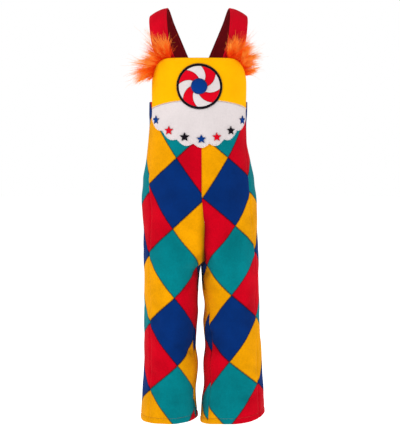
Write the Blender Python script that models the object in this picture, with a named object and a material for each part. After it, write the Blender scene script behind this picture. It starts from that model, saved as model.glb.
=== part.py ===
"""Clown dungarees for a child of about four: two printed fleece legs joined up the middle, a felt bib with
a rosette and a scalloped yoke, two shoulder straps and a tuft of fur at each corner of the bib.

Every panel is a thin wall lofted through sections of the filled-out garment. The origin lies at the
shoulders, midway between the straps; the front faces -Y and the wearer's right is at -X."""

import math

import bmesh
import bpy
from mathutils import Vector

MM = 0.001
LEFT, RIGHT = -1, 1  # seen from the front
SIDES = {"left": LEFT, "right": RIGHT}

# Cloth
FLEECE_WALL = 2.4 * MM
BIB_WALL = 2.6 * MM
MOTIF_WALL = 1.4 * MM
STRAP_WALL = 2.8 * MM
SEAM_GAP = 0.3 * MM  # between two pieces at a seam
INSEAM_GAP = 0.6 * MM  # between a front and a back inside the leg, where the seam turns sharply
LAY_GAP = 0.4 * MM  # between two pieces that lie on each other
STAR_LIFT = 0.3 * MM  # more for the stars, as the yoke bulges between its rows
STEP_TURN = 0.5  # degrees, for slopes taken across the cloth
STEP_DOWN = 1.0 * MM  # for slopes taken down the cloth

# Heights, down from the shoulders
WAIST_Z = -174 * MM  # top of the legs at the side seams
FRONT_DIP = 21 * MM  # how much lower the fronts end at the middle, under the bib
BACK_RISE = 29 * MM  # how much higher the backs reach at the middle
BACK_RISE_FROM = 112.0  # degrees round, where the backs start to rise
BACK_RISE_TO = 146.0
FORK_TOP_Z = -362 * MM  # where the two legs start to part
CROTCH_Z = -489 * MM
HEM_Z = -787 * MM
# How much higher than in front each leg's hem is at its outer and at its inner side
HEM_LIFTS = {LEFT: (-2 * MM, 3 * MM), RIGHT: (10 * MM, -8 * MM)}
TOP_FADE = 130 * MM  # how far down the shaped top edge moves the rows
HEM_FADE = 80 * MM
FORK_POWER_FRONT = 2.0
FORK_POWER_BACK = 3.0
SIDE_BLEND = math.radians(75)  # the angle from which a section has its outer centre

# Outline of the filled garment, in millimetres: its edges from the front, its depth before and behind
# the middle, and where the side seams run, in degrees round from the front
BODY_COLUMNS = ("z", "left", "right", "front", "back", "left_seam", "right_seam")
BODY = (
    (-85, -92.0, 92.0, 66, 70, 78, 78),
    (-150, -93.6, 93.8, 70, 74, 78, 78),
    (-208, -94.5, 92.8, 72, 76, 76, 75),
    (-247, -96.5, 92.5, 74, 79, 73, 72),
    (-285, -100.1, 99.2, 78, 85, 69, 68),
    (-324, -107.0, 107.5, 82, 91, 63, 62),
    (-362, -109.6, 112.0, 84, 94, 58, 60),
    (-401, -107.8, 113.6, 84, 93, 57, 60),
    (-459, -106.3, 115.6, 80, 88, 55, 60),
    (-490, -105.7, 116.5, 76, 83, 53, 60),
    (-560, -105.3, 117.8, 69, 74, 50, 59),
    (-640, -106.1, 121.6, 64, 68, 47, 57),
    (-714, -108.3, 125.8, 62, 65, 45, 54),
    (-787, -112.6, 129.0, 60, 63, 44, 54),
)

# The seam up the middle, which wanders a little, and the inner edges of the two legs below it
MIDDLE_COLUMNS = ("z", "x")
MIDDLE = (
    (-85, 0.0),
    (-170, 1.5),
    (-262, 6.0),
    (-340, 6.0),
    (-386, 9.0),
    (-408, 11.5),
    (-440, 10.5),
    (-474, 11.0),
    (-489, 4.8),
)
INNER_COLUMNS = ("z", "left", "right", "left_seam", "right_seam")
INNER = (
    (-489, 4.8, 4.8, -90, -90),
    (-505, 1.6, 6.0, -82, -80),
    (-531, 0.0, 7.0, -75, -68),
    (-574, -0.4, 11.2, -70, -57),
    (-598, -2.2, 9.0, -68, -54),
    (-640, -4.9, 12.4, -68, -52),
    (-680, -0.4, 8.8, -68, -52),
    (-710, -3.0, 10.4, -68, -52),
    (-745, -4.8, 6.8, -68, -52),
    (-787, -1.0, 3.9, -68, -52),
)

# The largest folds, each a soft trough or ridge: where it is, which way it runs (0 is level, 90 upright,
# rising towards the outer side), and its size in millimetres; a depth below zero stands out
FOLD_COLUMNS = ("side", "z", "turn", "runs", "length", "width", "depth")
FOLDS = (
    (LEFT, -452, 8, 34, 80, 13, 3.0),
    (LEFT, -432, 24, 22, 70, 14, 1.8),
    (RIGHT, -448, 12, 30, 84, 13, 2.8),
    (RIGHT, -424, 28, 24, 64, 14, 1.6),
    (LEFT, -640, -48, 8, 70, 22, 2.2),
    (RIGHT, -628, -44, -6, 76, 24, 2.4),
    (RIGHT, -704, 8, 14, 90, 20, 1.8),
    (LEFT, -724, 22, -12, 80, 20, 1.6),
    (LEFT, -468, 196, 20, 84, 18, 5.0),
    (RIGHT, -474, 192, 16, 90, 18, 5.0),
    (LEFT, -506, 184, 8, 90, 17, 3.6),
    (RIGHT, -512, 180, 10, 84, 17, 3.8),
    (LEFT, -640, 182, 6, 96, 22, 4.0),
    (RIGHT, -632, 176, -8, 100, 22, 4.2),
    (LEFT, -424, 100, -40, 70, 20, 2.4),
    (RIGHT, -430, 102, -36, 74, 20, 2.2),
    (LEFT, -668, 96, 12, 70, 20, 2.0),
    (RIGHT, -600, 98, -14, 66, 20, 2.0),
)
FOLD_ARC = 64 * MM  # mean radius that turns an angle into a distance round a leg
FOLD_CLEAR = 16.0  # degrees beside the middle seam within which every fold fades out
FOLD_BELOW = 40 * MM  # how far below the crotch the folds reach the inseam again

# Rows of the legs from waist to hem, each from a height at the side seam to one at the middle seam or
# inseam. Above the crotch they sag to the middle, as the seam there curves under between the legs
ROW_COLUMNS = ("side", "middle")
LEG_ROWS = (
    (-174, -174),
    (-200, -200),
    (-224, -227),
    (-247, -254),
    (-270, -281),
    (-293, -308),
    (-316, -335),
    (-339, -362),
    (-361, -388),
    (-382, -411),
    (-402, -431),
    (-420, -448),
    (-436, -462),
    (-450, -473),
    (-461, -480.5),
    (-471, -485.5),
    (-480, -488.2),
    (-489, -489),
    (-501, -499),
    (-515, -512),
    (-532, -530),
    (-552, -551),
    (-576, -576),
    (-600, -600),
    (-625, -625),
    (-650, -650),
    (-680, -680),
    (-710, -710),
    (-745, -745),
    (-773, -773),
    (-787, -787),
)
ROW_SAG_POWER = 1.5
FRONT_STRIPS = 10
BACK_STRIPS = 12

# Bib, measured round the cloth from its middle and down from the shoulders
BIB_TOP_Z = -93.5 * MM
BIB_FLAT = 60 * MM  # half the level top edge
BIB_SIDE_TURN = 70.0  # degrees round to its side edges
BIB_SIDE_TOP_Z = -138 * MM
BIB_CORNER_POWER = 1.95
YOKE_TOP_Z = -172 * MM
YOKE_TOP_FALL = 15 * MM
YOKE_LOW_Z = -254 * MM
YOKE_LOW_RISE = 49 * MM
SCALLOPS = 7
SCALLOP_DROP = 7 * MM
SCALLOP_STRIPS = 6
BIB_ROWS = 2
BIB_REFERENCE_Z = -190 * MM  # the section along which the bib's widths are measured

# Rosette: a dome, eight curved vanes and a ring round them
ROSETTE_Z = -147 * MM
DOME_RADIUS = 14 * MM
DOME_HEIGHT = 8 * MM
VANE_COUNT = 8
VANE_OUT = 37.7 * MM
VANE_SWEEP = 38.0  # degrees that a vane turns from its root to its tip
VANE_STRIPS = 3
RING_OUT = 42 * MM
RING_STRIPS = VANE_COUNT * VANE_STRIPS
DOME_STRIPS = 16
DOME_RINGS = 4

STAR_RADIUS = 8.6 * MM
STAR_WAIST = 0.46
STAR_UP = 16 * MM  # from a scallop's lowest point up to its star's centre

# Shoulder straps, for the right side and mirrored for the left. Their ends lie on the body, inside the
# bib and inside the backs; between them each row gives the inner and the outer edge
STRAP_WIDTH = 37 * MM
STRAP_STRIPS = 4
STRAP_STEPS = 2  # rows made between two rows of the tables
STRAP_BIB_COLUMNS = ("z", "inner", "lift")
STRAP_BIB_END = (
    (-140, 37.0, -0.4),
    (-122, 39.5, -1.6),
    (-104, 44.0, -3.8),
)
STRAP_COLUMNS = ("ix", "iy", "iz", "ox", "oy", "oz", "bow")
STRAP = (
    (50.0, -49.0, -80, 84.0, -21.5, -82, 3.0),
    (56.5, -40.5, -54, 91.0, -16.5, -58, 3.0),
    (60.0, -26.0, -20, 94.0, -11.0, -31, 3.0),
    (60.3, -12.0, -2, 94.6, -4.0, -16.5, 3.0),
    (58.5, 3.0, 5.5, 93.0, 6.0, -10, 3.0),
    (55.0, 18.0, 1.0, 90.0, 18.0, -15, 2.5),
    (47.5, 40.0, -20, 83.0, 37.0, -33, 2.0),
    (37.0, 56.0, -45, 74.0, 53.0, -58, 1.5),
    (25.5, 66.0, -72, 63.0, 64.0, -86, 1.2),
    (12.5, 71.0, -104, 50.5, 70.0, -116, 1.0),
)
STRAP_BACK_COLUMNS = ("z", "inner")
STRAP_BACK_END = (
    (-146, 1.5),
    (-178, 1.5),
)

# Tufts: a narrow strip behind each corner of the bib, with a row of locks on its outer edge
TUFT_FROM = 57 * MM
TUFT_TO = 103 * MM
TUFT_LOCKS = 16
STRIP_IN = -4.0 * MM
STRIP_OUT = 3.5 * MM
STRIP_WALL = 2.4 * MM
LOCK_COLUMNS = ("along", "length", "angle", "lean")
LOCKS = (
    (0.0, 34, 97, 9),
    (0.22, 60, 84, 11),
    (0.36, 70, 76, 12),
    (0.55, 55, 52, 12),
    (0.76, 56, 34, 10),
    (1.0, 52, 2, 6),
)
LOCK_BELLY = ((0.3, 1.1, 2.0), (0.7, 0.85, 1.4))  # along the lock: half its width and half its depth, mm
LOCK_VARIES = (1.0, 0.8, 1.06, 0.88, 0.7, 1.02, 0.84)
LOCK_TIPS = (5.0, -3.0, 8.0, -6.0, 1.0)  # degrees more forward, lock by lock

COLOURS = {
    "blue": (0.006, 0.035, 0.21),
    "teal": (0.0, 0.24, 0.25),
    "red": (0.62, 0.006, 0.015),
    "yellow": (0.85, 0.37, 0.006),
    "bib_yellow": (0.95, 0.48, 0.004),
    "white": (0.86, 0.83, 0.84),
    "black": (0.008, 0.006, 0.008),
    "orange": (0.85, 0.13, 0.012),
}
VANE_COLOURS = ("red", "white")
STAR_COLOURS = ("blue", "red", "black")
FLEECE_ROUGHNESS = 0.95


class Curve:
    """A smooth curve through a table's points that doesn't swing past them."""

    def __init__(self, places, values):
        pairs = sorted(zip(places, values))
        self.places = [place for place, _ in pairs]
        self.values = [value for _, value in pairs]
        self.slopes = self.find_slopes()

    def find_slopes(self):
        count = len(self.places)
        steps = [
            (self.values[i + 1] - self.values[i]) / (self.places[i + 1] - self.places[i])
            for i in range(count - 1)
        ]
        slopes = [steps[0]]
        for before, after in zip(steps, steps[1:]):
            slopes.append(2 * before * after / (before + after) if before * after > 0 else 0.0)
        return slopes + [steps[-1]]

    def __call__(self, place):
        places = self.places
        if place <= places[0]:
            return self.values[0]
        if place >= places[-1]:
            return self.values[-1]
        i = max(k for k in range(len(places) - 1) if places[k] <= place)
        wide = places[i + 1] - places[i]
        t = (place - places[i]) / wide
        return (
            self.values[i] * (1 + 2 * t) * (1 - t) ** 2
            + self.slopes[i] * wide * t * (1 - t) ** 2
            + self.values[i + 1] * t * t * (3 - 2 * t)
            - self.slopes[i + 1] * wide * t * t * (1 - t)
        )


def curves(columns, rows, units):
    """One curve for each column after the first, which gives the places; units hold each column's scale."""
    places = [row[0] * units[columns[0]] for row in rows]
    return {
        name: Curve(places, [row[i] * units.get(name, MM) for row in rows])
        for i, name in enumerate(columns)
        if i
    }


DEGREES = {"z": MM, "left_seam": 1.0, "right_seam": 1.0}
OUTLINE = curves(BODY_COLUMNS, BODY, DEGREES)
MIDDLE_X = curves(MIDDLE_COLUMNS, MIDDLE, DEGREES)["x"]
INSIDE = curves(INNER_COLUMNS, INNER, DEGREES)
SIDE_NAME = {side: name for name, side in SIDES.items()}


def smoothstep(t):
    t = min(max(t, 0.0), 1.0)
    return t * t * (3 - 2 * t)


def fork_down(z):
    """How far down the stretch where the legs part this height is: 0 on the body, 1 at the crotch."""
    return min(max((FORK_TOP_Z - z) / (FORK_TOP_Z - CROTCH_Z), 0.0), 1.0)


def parted(z, is_back):
    """How far the middle seam has sunk between the legs, as the sine of its turn."""
    return fork_down(z) ** (FORK_POWER_BACK if is_back else FORK_POWER_FRONT)


def inner_edge(side, z):
    """Where a half of the garment ends towards the middle, seen from the front."""
    if z >= CROTCH_Z:
        return MIDDLE_X(z) + side * SEAM_GAP / 2
    return INSIDE[SIDE_NAME[side]](z) + side * SEAM_GAP / 2


def half_section(side, z, is_back):
    """The ellipse that one half follows at this height: its half-width, and its centre next to the
    middle seam and next to the side. They part where the legs do, which leaves a flatter stretch."""
    outer = OUTLINE[SIDE_NAME[side]](z)
    inner = inner_edge(side, z)
    half = abs(outer - inner) / (1 + smoothstep(fork_down(z)))
    return half, inner + side * half * parted(z, is_back), outer - side * half


def section_x(side, z, angle, is_back):
    """How far to the side the cloth is, at an angle from straight forward or straight back."""
    half, near_middle, near_side = half_section(side, z, is_back)
    seam = -math.asin(parted(z, is_back))
    blend = smoothstep((angle - seam) / (SIDE_BLEND - seam))
    return near_middle + (near_side - near_middle) * blend + side * half * math.sin(angle)


def fold_depth(side, z, turn):
    """How far the folds push the cloth in at this place."""
    if turn > 270:
        turn -= 360
    sunk = 0.0
    for row in FOLDS:
        fold = dict(zip(FOLD_COLUMNS, row))
        if fold["side"] != side:
            continue
        across = math.radians(turn - fold["turn"]) * FOLD_ARC
        up = z - fold["z"] * MM
        runs = math.radians(fold["runs"])
        along = across * math.cos(runs) + up * math.sin(runs)
        off = up * math.cos(runs) - across * math.sin(runs)
        reach = fold["length"] * MM / 2
        sunk += (
            fold["depth"]
            * MM
            * math.exp(-((off / (fold["width"] * MM)) ** 2))
            * (1 - smoothstep(abs(along) / reach))
        )
    front_seam = -math.degrees(math.asin(parted(z, False)))
    back_seam = 180 + math.degrees(math.asin(parted(z, True)))
    clear = smoothstep((turn - front_seam) / FOLD_CLEAR) * smoothstep((back_seam - turn) / FOLD_CLEAR)
    below = smoothstep((CROTCH_Z - z) / FOLD_BELOW)
    return sunk * (clear + (1 - clear) * below)


def body_point(side, z, turn):
    """The outer face of the cloth at a height and a turn, in degrees round from the front."""
    is_back = 90 < turn < 270
    depth = OUTLINE["back" if is_back else "front"](z)
    angle = math.radians(180 - turn if is_back else turn if turn <= 90 else turn - 360)
    facing = 1 if is_back else -1
    x = section_x(side, z, angle, is_back)
    y = facing * depth * math.cos(angle)
    half = half_section(side, z, is_back)[0]
    out = Vector((side * math.sin(angle) * depth, facing * math.cos(angle) * half, 0)).normalized()
    return Vector((x, y, z)) - out * fold_depth(side, z, turn)


def body_normal(side, z, turn):
    """The direction straight out of the cloth."""
    across = body_point(side, z, turn + STEP_TURN) - body_point(side, z, turn - STEP_TURN)
    down = body_point(side, z - STEP_DOWN, turn) - body_point(side, z + STEP_DOWN, turn)
    return across.cross(down).normalized() * -side


def turn_for(side, z, turn, distance):
    """The turn that lies this distance further round."""
    arc = (body_point(side, z, turn + STEP_TURN) - body_point(side, z, turn - STEP_TURN)).length
    return turn + distance * 2 * STEP_TURN / arc


def find_arc_turns():
    """Turns from the front and their distances round the bib's reference section, for each side."""
    table = {}
    for side in (LEFT, RIGHT):
        turns = [2.0 * i for i in range(51)]
        points = [body_point(side, BIB_REFERENCE_Z, turn) for turn in turns]
        arcs = [0.0]
        for before, after in zip(points, points[1:]):
            arcs.append(arcs[-1] + (after - before).length)
        table[side] = (Curve(arcs, turns), Curve(turns, arcs))
    return table


ARC_TURNS = find_arc_turns()


def on_body(across, z, lift):
    """A place on the body, measured round from the middle of the front, and lifted off the cloth."""
    side = LEFT if across < 0 else RIGHT
    turn = ARC_TURNS[side][0](abs(across))
    return body_point(side, z, turn) + body_normal(side, z, turn) * lift


def material(name, colour, roughness=FLEECE_ROUGHNESS):
    made = bpy.data.materials.new(name)
    made.use_nodes = True
    shader = made.node_tree.nodes["Principled BSDF"]
    shader.inputs["Base Color"].default_value = (*colour, 1.0)
    shader.inputs["Roughness"].default_value = roughness
    shader.inputs["Metallic"].default_value = 0.0
    return made


def finish_object(name, mesh_data, colour, collection):
    """Turns a bmesh into a smooth-shaded object with a material of its own."""
    bmesh.ops.recalc_face_normals(mesh_data, faces=mesh_data.faces)
    mesh = bpy.data.meshes.new(name)
    mesh_data.to_mesh(mesh)
    mesh_data.free()
    mesh.shade_smooth()
    mesh.set_sharp_from_angle(angle=math.radians(50))
    mesh.materials.append(material(name, COLOURS[colour]))
    made = bpy.data.objects.new(name, mesh)
    collection.objects.link(made)
    return made


def add_layer(mesh_data, grid, closed=False):
    """Vertices for a grid of places and the faces between them."""
    verts = [[mesh_data.verts.new(place) for place in row] for row in grid]
    for above, below in zip(verts, verts[1:]):
        pairs = list(zip(range(len(above)), range(1, len(above))))
        if closed:
            pairs.append((len(above) - 1, 0))
        for i, j in pairs:
            mesh_data.faces.new((above[i], above[j], below[j], below[i]))
    return verts


def add_rim(mesh_data, outer, inner):
    """Joins the edges of two matching loops."""
    count = len(outer)
    for i in range(count):
        j = (i + 1) % count
        mesh_data.faces.new((outer[i], outer[j], inner[j], inner[i]))


def border(verts):
    """The loop of vertices round a grid."""
    right = [row[-1] for row in verts[1:-1]]
    left = [row[0] for row in verts[-2:0:-1]]
    return list(verts[0]) + right + list(reversed(verts[-1])) + left


def cloth_wall(name, outer, inner, colour, collection):
    """A wall of cloth between two matching grids of places."""
    mesh_data = bmesh.new()
    outer_verts = add_layer(mesh_data, outer)
    inner_verts = add_layer(mesh_data, inner)
    add_rim(mesh_data, border(outer_verts), border(inner_verts))
    return finish_object(name, mesh_data, colour, collection)


def leg_height(side, row_z, turn, is_back, side_turn):
    """A row's height at a turn, with the top edge shaped and the hem lifted at the sides."""
    if is_back:
        rise = BACK_RISE * smoothstep((turn - BACK_RISE_FROM) / (BACK_RISE_TO - BACK_RISE_FROM))
    else:
        rise = -FRONT_DIP * (1 - smoothstep(turn / side_turn))
    near_top = smoothstep((row_z - (WAIST_Z - TOP_FADE)) / TOP_FADE)
    near_hem = smoothstep((HEM_Z + HEM_FADE - row_z) / HEM_FADE)
    sideways = math.sin(math.radians(turn))
    lifted = HEM_LIFTS[side][0 if sideways > 0 else 1] * sideways**2
    return row_z + rise * near_top + lifted * near_hem


def panel_turns(side, z, is_back):
    """Where a front or a back begins and ends round the body, seam allowance taken off."""
    name = SIDE_NAME[side]
    side_turn = OUTLINE[name + "_seam"](z)
    if z > CROTCH_Z:
        inner = math.degrees(math.asin(parted(z, is_back)))
        if is_back:
            return turn_for(side, z, side_turn, SEAM_GAP / 2), 180 + inner
        return -inner, turn_for(side, z, side_turn, -SEAM_GAP / 2)
    inseam = INSIDE[name + "_seam"](z)
    if is_back:
        return (
            turn_for(side, z, side_turn, SEAM_GAP / 2),
            turn_for(side, z, 360 + inseam, -INSEAM_GAP / 2),
        )
    return turn_for(side, z, inseam, INSEAM_GAP / 2), turn_for(side, z, side_turn, -SEAM_GAP / 2)


def leg_panel(name, side, is_back, colour, collection):
    """A front or a back, from the waist to the hem."""
    strips = BACK_STRIPS if is_back else FRONT_STRIPS
    outer, inner = [], []
    for values in LEG_ROWS:
        row = dict(zip(ROW_COLUMNS, (value * MM for value in values)))
        side_turn = panel_turns(side, row["side"], is_back)[0 if is_back else 1]
        middle_turn = panel_turns(side, row["middle"], is_back)[1 if is_back else 0]
        outer_row, inner_row = [], []
        for i in range(strips + 1):
            inwards = i / strips
            turn = side_turn + (middle_turn - side_turn) * inwards
            row_z = row["side"] + (row["middle"] - row["side"]) * inwards**ROW_SAG_POWER
            z = leg_height(side, row_z, turn, is_back, side_turn)
            place = body_point(side, z, turn)
            outer_row.append(place)
            inner_row.append(place - body_normal(side, z, turn) * FLEECE_WALL)
        outer.append(outer_row)
        inner.append(inner_row)
    return cloth_wall(name, outer, inner, colour, collection)


def bib_half_width():
    return min(ARC_TURNS[side][1](BIB_SIDE_TURN) for side in (LEFT, RIGHT))


def bib_top(across):
    """Height of the bib's top edge: level in the middle, rounded off at the corners."""
    out = (abs(across) - BIB_FLAT) / (bib_half_width() - BIB_FLAT)
    if out <= 0:
        return BIB_TOP_Z
    left = max(1 - out**BIB_CORNER_POWER, 0.0) ** (1 / BIB_CORNER_POWER)
    return BIB_SIDE_TOP_Z + (BIB_TOP_Z - BIB_SIDE_TOP_Z) * left


def yoke_top(across):
    return YOKE_TOP_Z - YOKE_TOP_FALL * (across / bib_half_width()) ** 2


def scallop_line(across):
    """The line from which the scallops hang."""
    return YOKE_LOW_Z + YOKE_LOW_RISE * (across / bib_half_width()) ** 2


def yoke_low(across):
    """The yoke's lower edge, with a round scallop between each two points."""
    phase = (across + bib_half_width()) / (2 * bib_half_width()) * SCALLOPS
    return scallop_line(across) - SCALLOP_DROP * abs(math.sin(math.pi * phase))


def bib_piece(name, upper, lower, gap_above, colour, collection):
    """A stretch of the bib between an upper and a lower edge."""
    half = bib_half_width()
    strips = SCALLOPS * SCALLOP_STRIPS
    outer, inner = [], []
    for row in range(BIB_ROWS + 1):
        outer_row, inner_row = [], []
        for i in range(strips + 1):
            across = half * (2 * i / strips - 1)
            top = upper(across) - gap_above
            z = top + (lower(across) - top) * row / BIB_ROWS
            inner_row.append(on_body(across, z, LAY_GAP))
            outer_row.append(on_body(across, z, LAY_GAP + BIB_WALL))
        outer.append(outer_row)
        inner.append(inner_row)
    return cloth_wall(name, outer, inner, colour, collection)


def on_bib(across, z, lift):
    """A place on the bib's face."""
    return on_body(across, z, LAY_GAP + BIB_WALL + LAY_GAP + lift)


def rosette_place(radius, angle, lift):
    return on_bib(radius * math.cos(angle), ROSETTE_Z + radius * math.sin(angle), lift)


def vane(name, first, colour, collection):
    """One curved vane of the rosette, swept round as it goes out."""
    root = DOME_RADIUS + SEAM_GAP
    spread = 2 * math.pi / VANE_COUNT
    outer, inner = [], []
    for row in range(VANE_STRIPS + 1):
        out = row / VANE_STRIPS
        radius = root + (VANE_OUT - root) * out
        turned = first + math.radians(VANE_SWEEP) * out
        gap = SEAM_GAP / 2 / radius
        low, high = turned + gap, turned + spread - gap
        angles = [low + (high - low) * i / VANE_STRIPS for i in range(VANE_STRIPS + 1)]
        outer.append([rosette_place(radius, angle, MOTIF_WALL) for angle in angles])
        inner.append([rosette_place(radius, angle, 0) for angle in angles])
    return cloth_wall(name, outer, inner, colour, collection)


def rosette_ring(collection):
    """The flat ring round the vanes."""
    first = math.radians(VANE_SWEEP)
    angles = [first + 2 * math.pi * i / RING_STRIPS for i in range(RING_STRIPS)]
    radii = (VANE_OUT + SEAM_GAP, RING_OUT)
    mesh_data = bmesh.new()
    top = add_layer(mesh_data, [[rosette_place(r, a, MOTIF_WALL) for a in angles] for r in radii], closed=True)
    low = add_layer(mesh_data, [[rosette_place(r, a, 0) for a in angles] for r in radii], closed=True)
    add_rim(mesh_data, top[0], low[0])
    add_rim(mesh_data, top[1], low[1])
    return finish_object("rosette_ring", mesh_data, "black", collection)


def rosette_dome(collection):
    """The padded dome at the rosette's centre."""
    mesh_data = bmesh.new()
    rings = []
    for ring in range(DOME_RINGS):
        rise = math.pi / 2 * ring / DOME_RINGS
        radius = DOME_RADIUS * math.cos(rise)
        height = MOTIF_WALL / 2 + DOME_HEIGHT * math.sin(rise)
        rings.append(
            [rosette_place(radius, 2 * math.pi * i / DOME_STRIPS, height) for i in range(DOME_STRIPS)]
        )
    verts = add_layer(mesh_data, rings, closed=True)
    foot = [
        mesh_data.verts.new(rosette_place(DOME_RADIUS, 2 * math.pi * i / DOME_STRIPS, 0))
        for i in range(DOME_STRIPS)
    ]
    add_rim(mesh_data, verts[0], foot)
    peak = mesh_data.verts.new(rosette_place(0, 0, MOTIF_WALL / 2 + DOME_HEIGHT))
    base = mesh_data.verts.new(rosette_place(0, 0, 0))
    for i in range(DOME_STRIPS):
        j = (i + 1) % DOME_STRIPS
        mesh_data.faces.new((verts[-1][i], verts[-1][j], peak))
        mesh_data.faces.new((foot[j], foot[i], base))
    return finish_object("rosette_dome", mesh_data, "blue", collection)


def star(name, across, z, colour, collection):
    """A five-pointed star, upright on the yoke."""
    mesh_data = bmesh.new()
    layers = []
    for lift in (STAR_LIFT + MOTIF_WALL, STAR_LIFT):
        centre = mesh_data.verts.new(on_bib(across, z, lift))
        loop = []
        for i in range(10):
            radius = STAR_RADIUS * (STAR_WAIST if i % 2 else 1.0)
            angle = math.pi / 2 + math.pi / 5 * i
            place = on_bib(across + radius * math.cos(angle), z + radius * math.sin(angle), lift)
            loop.append(mesh_data.verts.new(place))
        for i in range(10):
            mesh_data.faces.new((centre, loop[i], loop[(i + 1) % 10]))
        layers.append(loop)
    add_rim(mesh_data, *layers)
    return finish_object(name, mesh_data, colour, collection)


def stars(collection):
    """A star in each scallop of the yoke."""
    width = 2 * bib_half_width() / SCALLOPS
    for i in range(SCALLOPS):
        across = (i - (SCALLOPS - 1) / 2) * width
        z = scallop_line(across) - SCALLOP_DROP + STAR_UP
        star(f"star_{i + 1}", across, z, STAR_COLOURS[i % len(STAR_COLOURS)], collection)


def on_back(side, x, z, lift):
    """A place on the back of the body, this far from the middle seam."""
    half, near_middle, _ = half_section(side, z, True)
    turn = 180 - math.degrees(math.asin(side * (x - near_middle) / half))
    return body_point(side, z, turn) + body_normal(side, z, turn) * lift


def strap_rows(side):
    """Rows of places across a strap's outer face, from its end in the bib to its end in the back."""
    parts = [i / STRAP_STRIPS for i in range(STRAP_STRIPS + 1)]
    rows = []
    for values in STRAP_BIB_END:
        row = dict(zip(STRAP_BIB_COLUMNS, values))
        rows.append(
            [
                on_body(side * (row["inner"] * MM + STRAP_WIDTH * part), row["z"] * MM, row["lift"] * MM)
                for part in parts
            ]
        )
    for values in STRAP:
        row = dict(zip(STRAP_COLUMNS, (value * MM for value in values)))
        inner = Vector((side * row["ix"], row["iy"], row["iz"]))
        outer = Vector((side * row["ox"], row["oy"], row["oz"]))
        up = Vector((0, (inner.y + outer.y) / 2, (inner.z + outer.z) / 2 + 70 * MM)).normalized()
        rows.append(
            [inner.lerp(outer, part) + up * row["bow"] * 4 * part * (1 - part) for part in parts]
        )
    inside = -(FLEECE_WALL + 2 * LAY_GAP)
    for values in STRAP_BACK_END:
        row = dict(zip(STRAP_BACK_COLUMNS, (value * MM for value in values)))
        rows.append(
            [on_back(side, side * (row["inner"] + STRAP_WIDTH * part), row["z"], inside) for part in parts]
        )
    return rows


def between(before, start, end, after, t):
    """A point of the smooth curve through four points, between the middle two."""
    return (
        start * 2
        + (end - before) * t
        + (before * 2 - start * 5 + end * 4 - after) * t * t
        + (start * 3 - before - end * 3 + after) * t * t * t
    ) / 2


def smooth_rows(rows, steps):
    """The same rows with more between them, along a smooth curve through each column."""
    ends = [rows[0]] + rows + [rows[-1]]
    made = []
    for i in range(1, len(ends) - 2):
        for step in range(steps):
            t = step / steps
            made.append(
                [between(*(ends[i + k][j] for k in (-1, 0, 1, 2)), t) for j in range(len(rows[0]))]
            )
    return made + [rows[-1]]


def grid_normals(grid, flip):
    """The direction out of a grid of places at each of them."""
    normals = []
    last_row, last_column = len(grid) - 1, len(grid[0]) - 1
    for i, row in enumerate(grid):
        normals.append([])
        for j in range(len(row)):
            down = grid[min(i + 1, last_row)][j] - grid[max(i - 1, 0)][j]
            across = grid[i][min(j + 1, last_column)] - grid[i][max(j - 1, 0)]
            normals[-1].append(across.cross(down).normalized() * flip)
    return normals


def strap(name, side, collection):
    """A flat strap from inside the bib, over the shoulder, to inside the back."""
    outer = smooth_rows(strap_rows(side), STRAP_STEPS)
    normals = grid_normals(outer, side)
    inner = [
        [place - normal * STRAP_WALL for place, normal in zip(row, row_normals)]
        for row, row_normals in zip(outer, normals)
    ]
    return cloth_wall(name, outer, inner, "red", collection)


def tuft_frame(side, along):
    """A place on the bib's corner edge, and the direction away from the bib there."""
    across = TUFT_FROM + (TUFT_TO - TUFT_FROM) * along
    near = 0.5 * MM
    run = Vector((2 * near, bib_top(across + near) - bib_top(across - near)))
    run.normalize()
    return across, bib_top(across), Vector((-run.y, run.x))


def tuft_section(side, along):
    """The strip's outline at one place along it, from its inner edge to its outer one and back."""
    across, z, away = tuft_frame(side, along)
    flat = ((STRIP_IN, -STRIP_WALL), (STRIP_IN, 0.0), (STRIP_OUT, 0.0), (STRIP_OUT, -STRIP_WALL))
    return [on_body(side * (across + away.x * out), z + away.y * out, lift) for out, lift in flat]


def lock_direction(side, angle, lean):
    """Up and outwards by the angle, tipped forwards by the lean, both in degrees."""
    rise, tip = math.radians(angle), math.radians(lean)
    return Vector((side * math.cos(rise) * math.cos(tip), -math.sin(tip), math.sin(rise) * math.cos(tip)))


def grow_lock(mesh_data, face, direction, length):
    """Draws one face of the strip out into a pointed lock with four sides."""
    base = list(face.verts)
    centre = face.calc_center_median()
    wide = base[1].co + base[2].co - base[0].co - base[3].co
    wide = (wide - direction * wide.dot(direction)).normalized()
    deep = direction.cross(wide)
    if deep.dot(base[2].co + base[3].co - base[0].co - base[1].co) < 0:
        deep.negate()
    signs = ((-1, -1), (1, -1), (1, 1), (-1, 1))
    mesh_data.faces.remove(face)
    ring = base
    for part, half_wide, half_deep in LOCK_BELLY:
        spine = centre + direction * length * part
        new = [
            mesh_data.verts.new(spine + wide * (a * half_wide * MM) + deep * (b * half_deep * MM))
            for a, b in signs
        ]
        add_rim(mesh_data, ring, new)
        ring = new
    tip = mesh_data.verts.new(centre + direction * length)
    for i in range(4):
        mesh_data.faces.new((ring[i], ring[(i + 1) % 4], tip))


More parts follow.
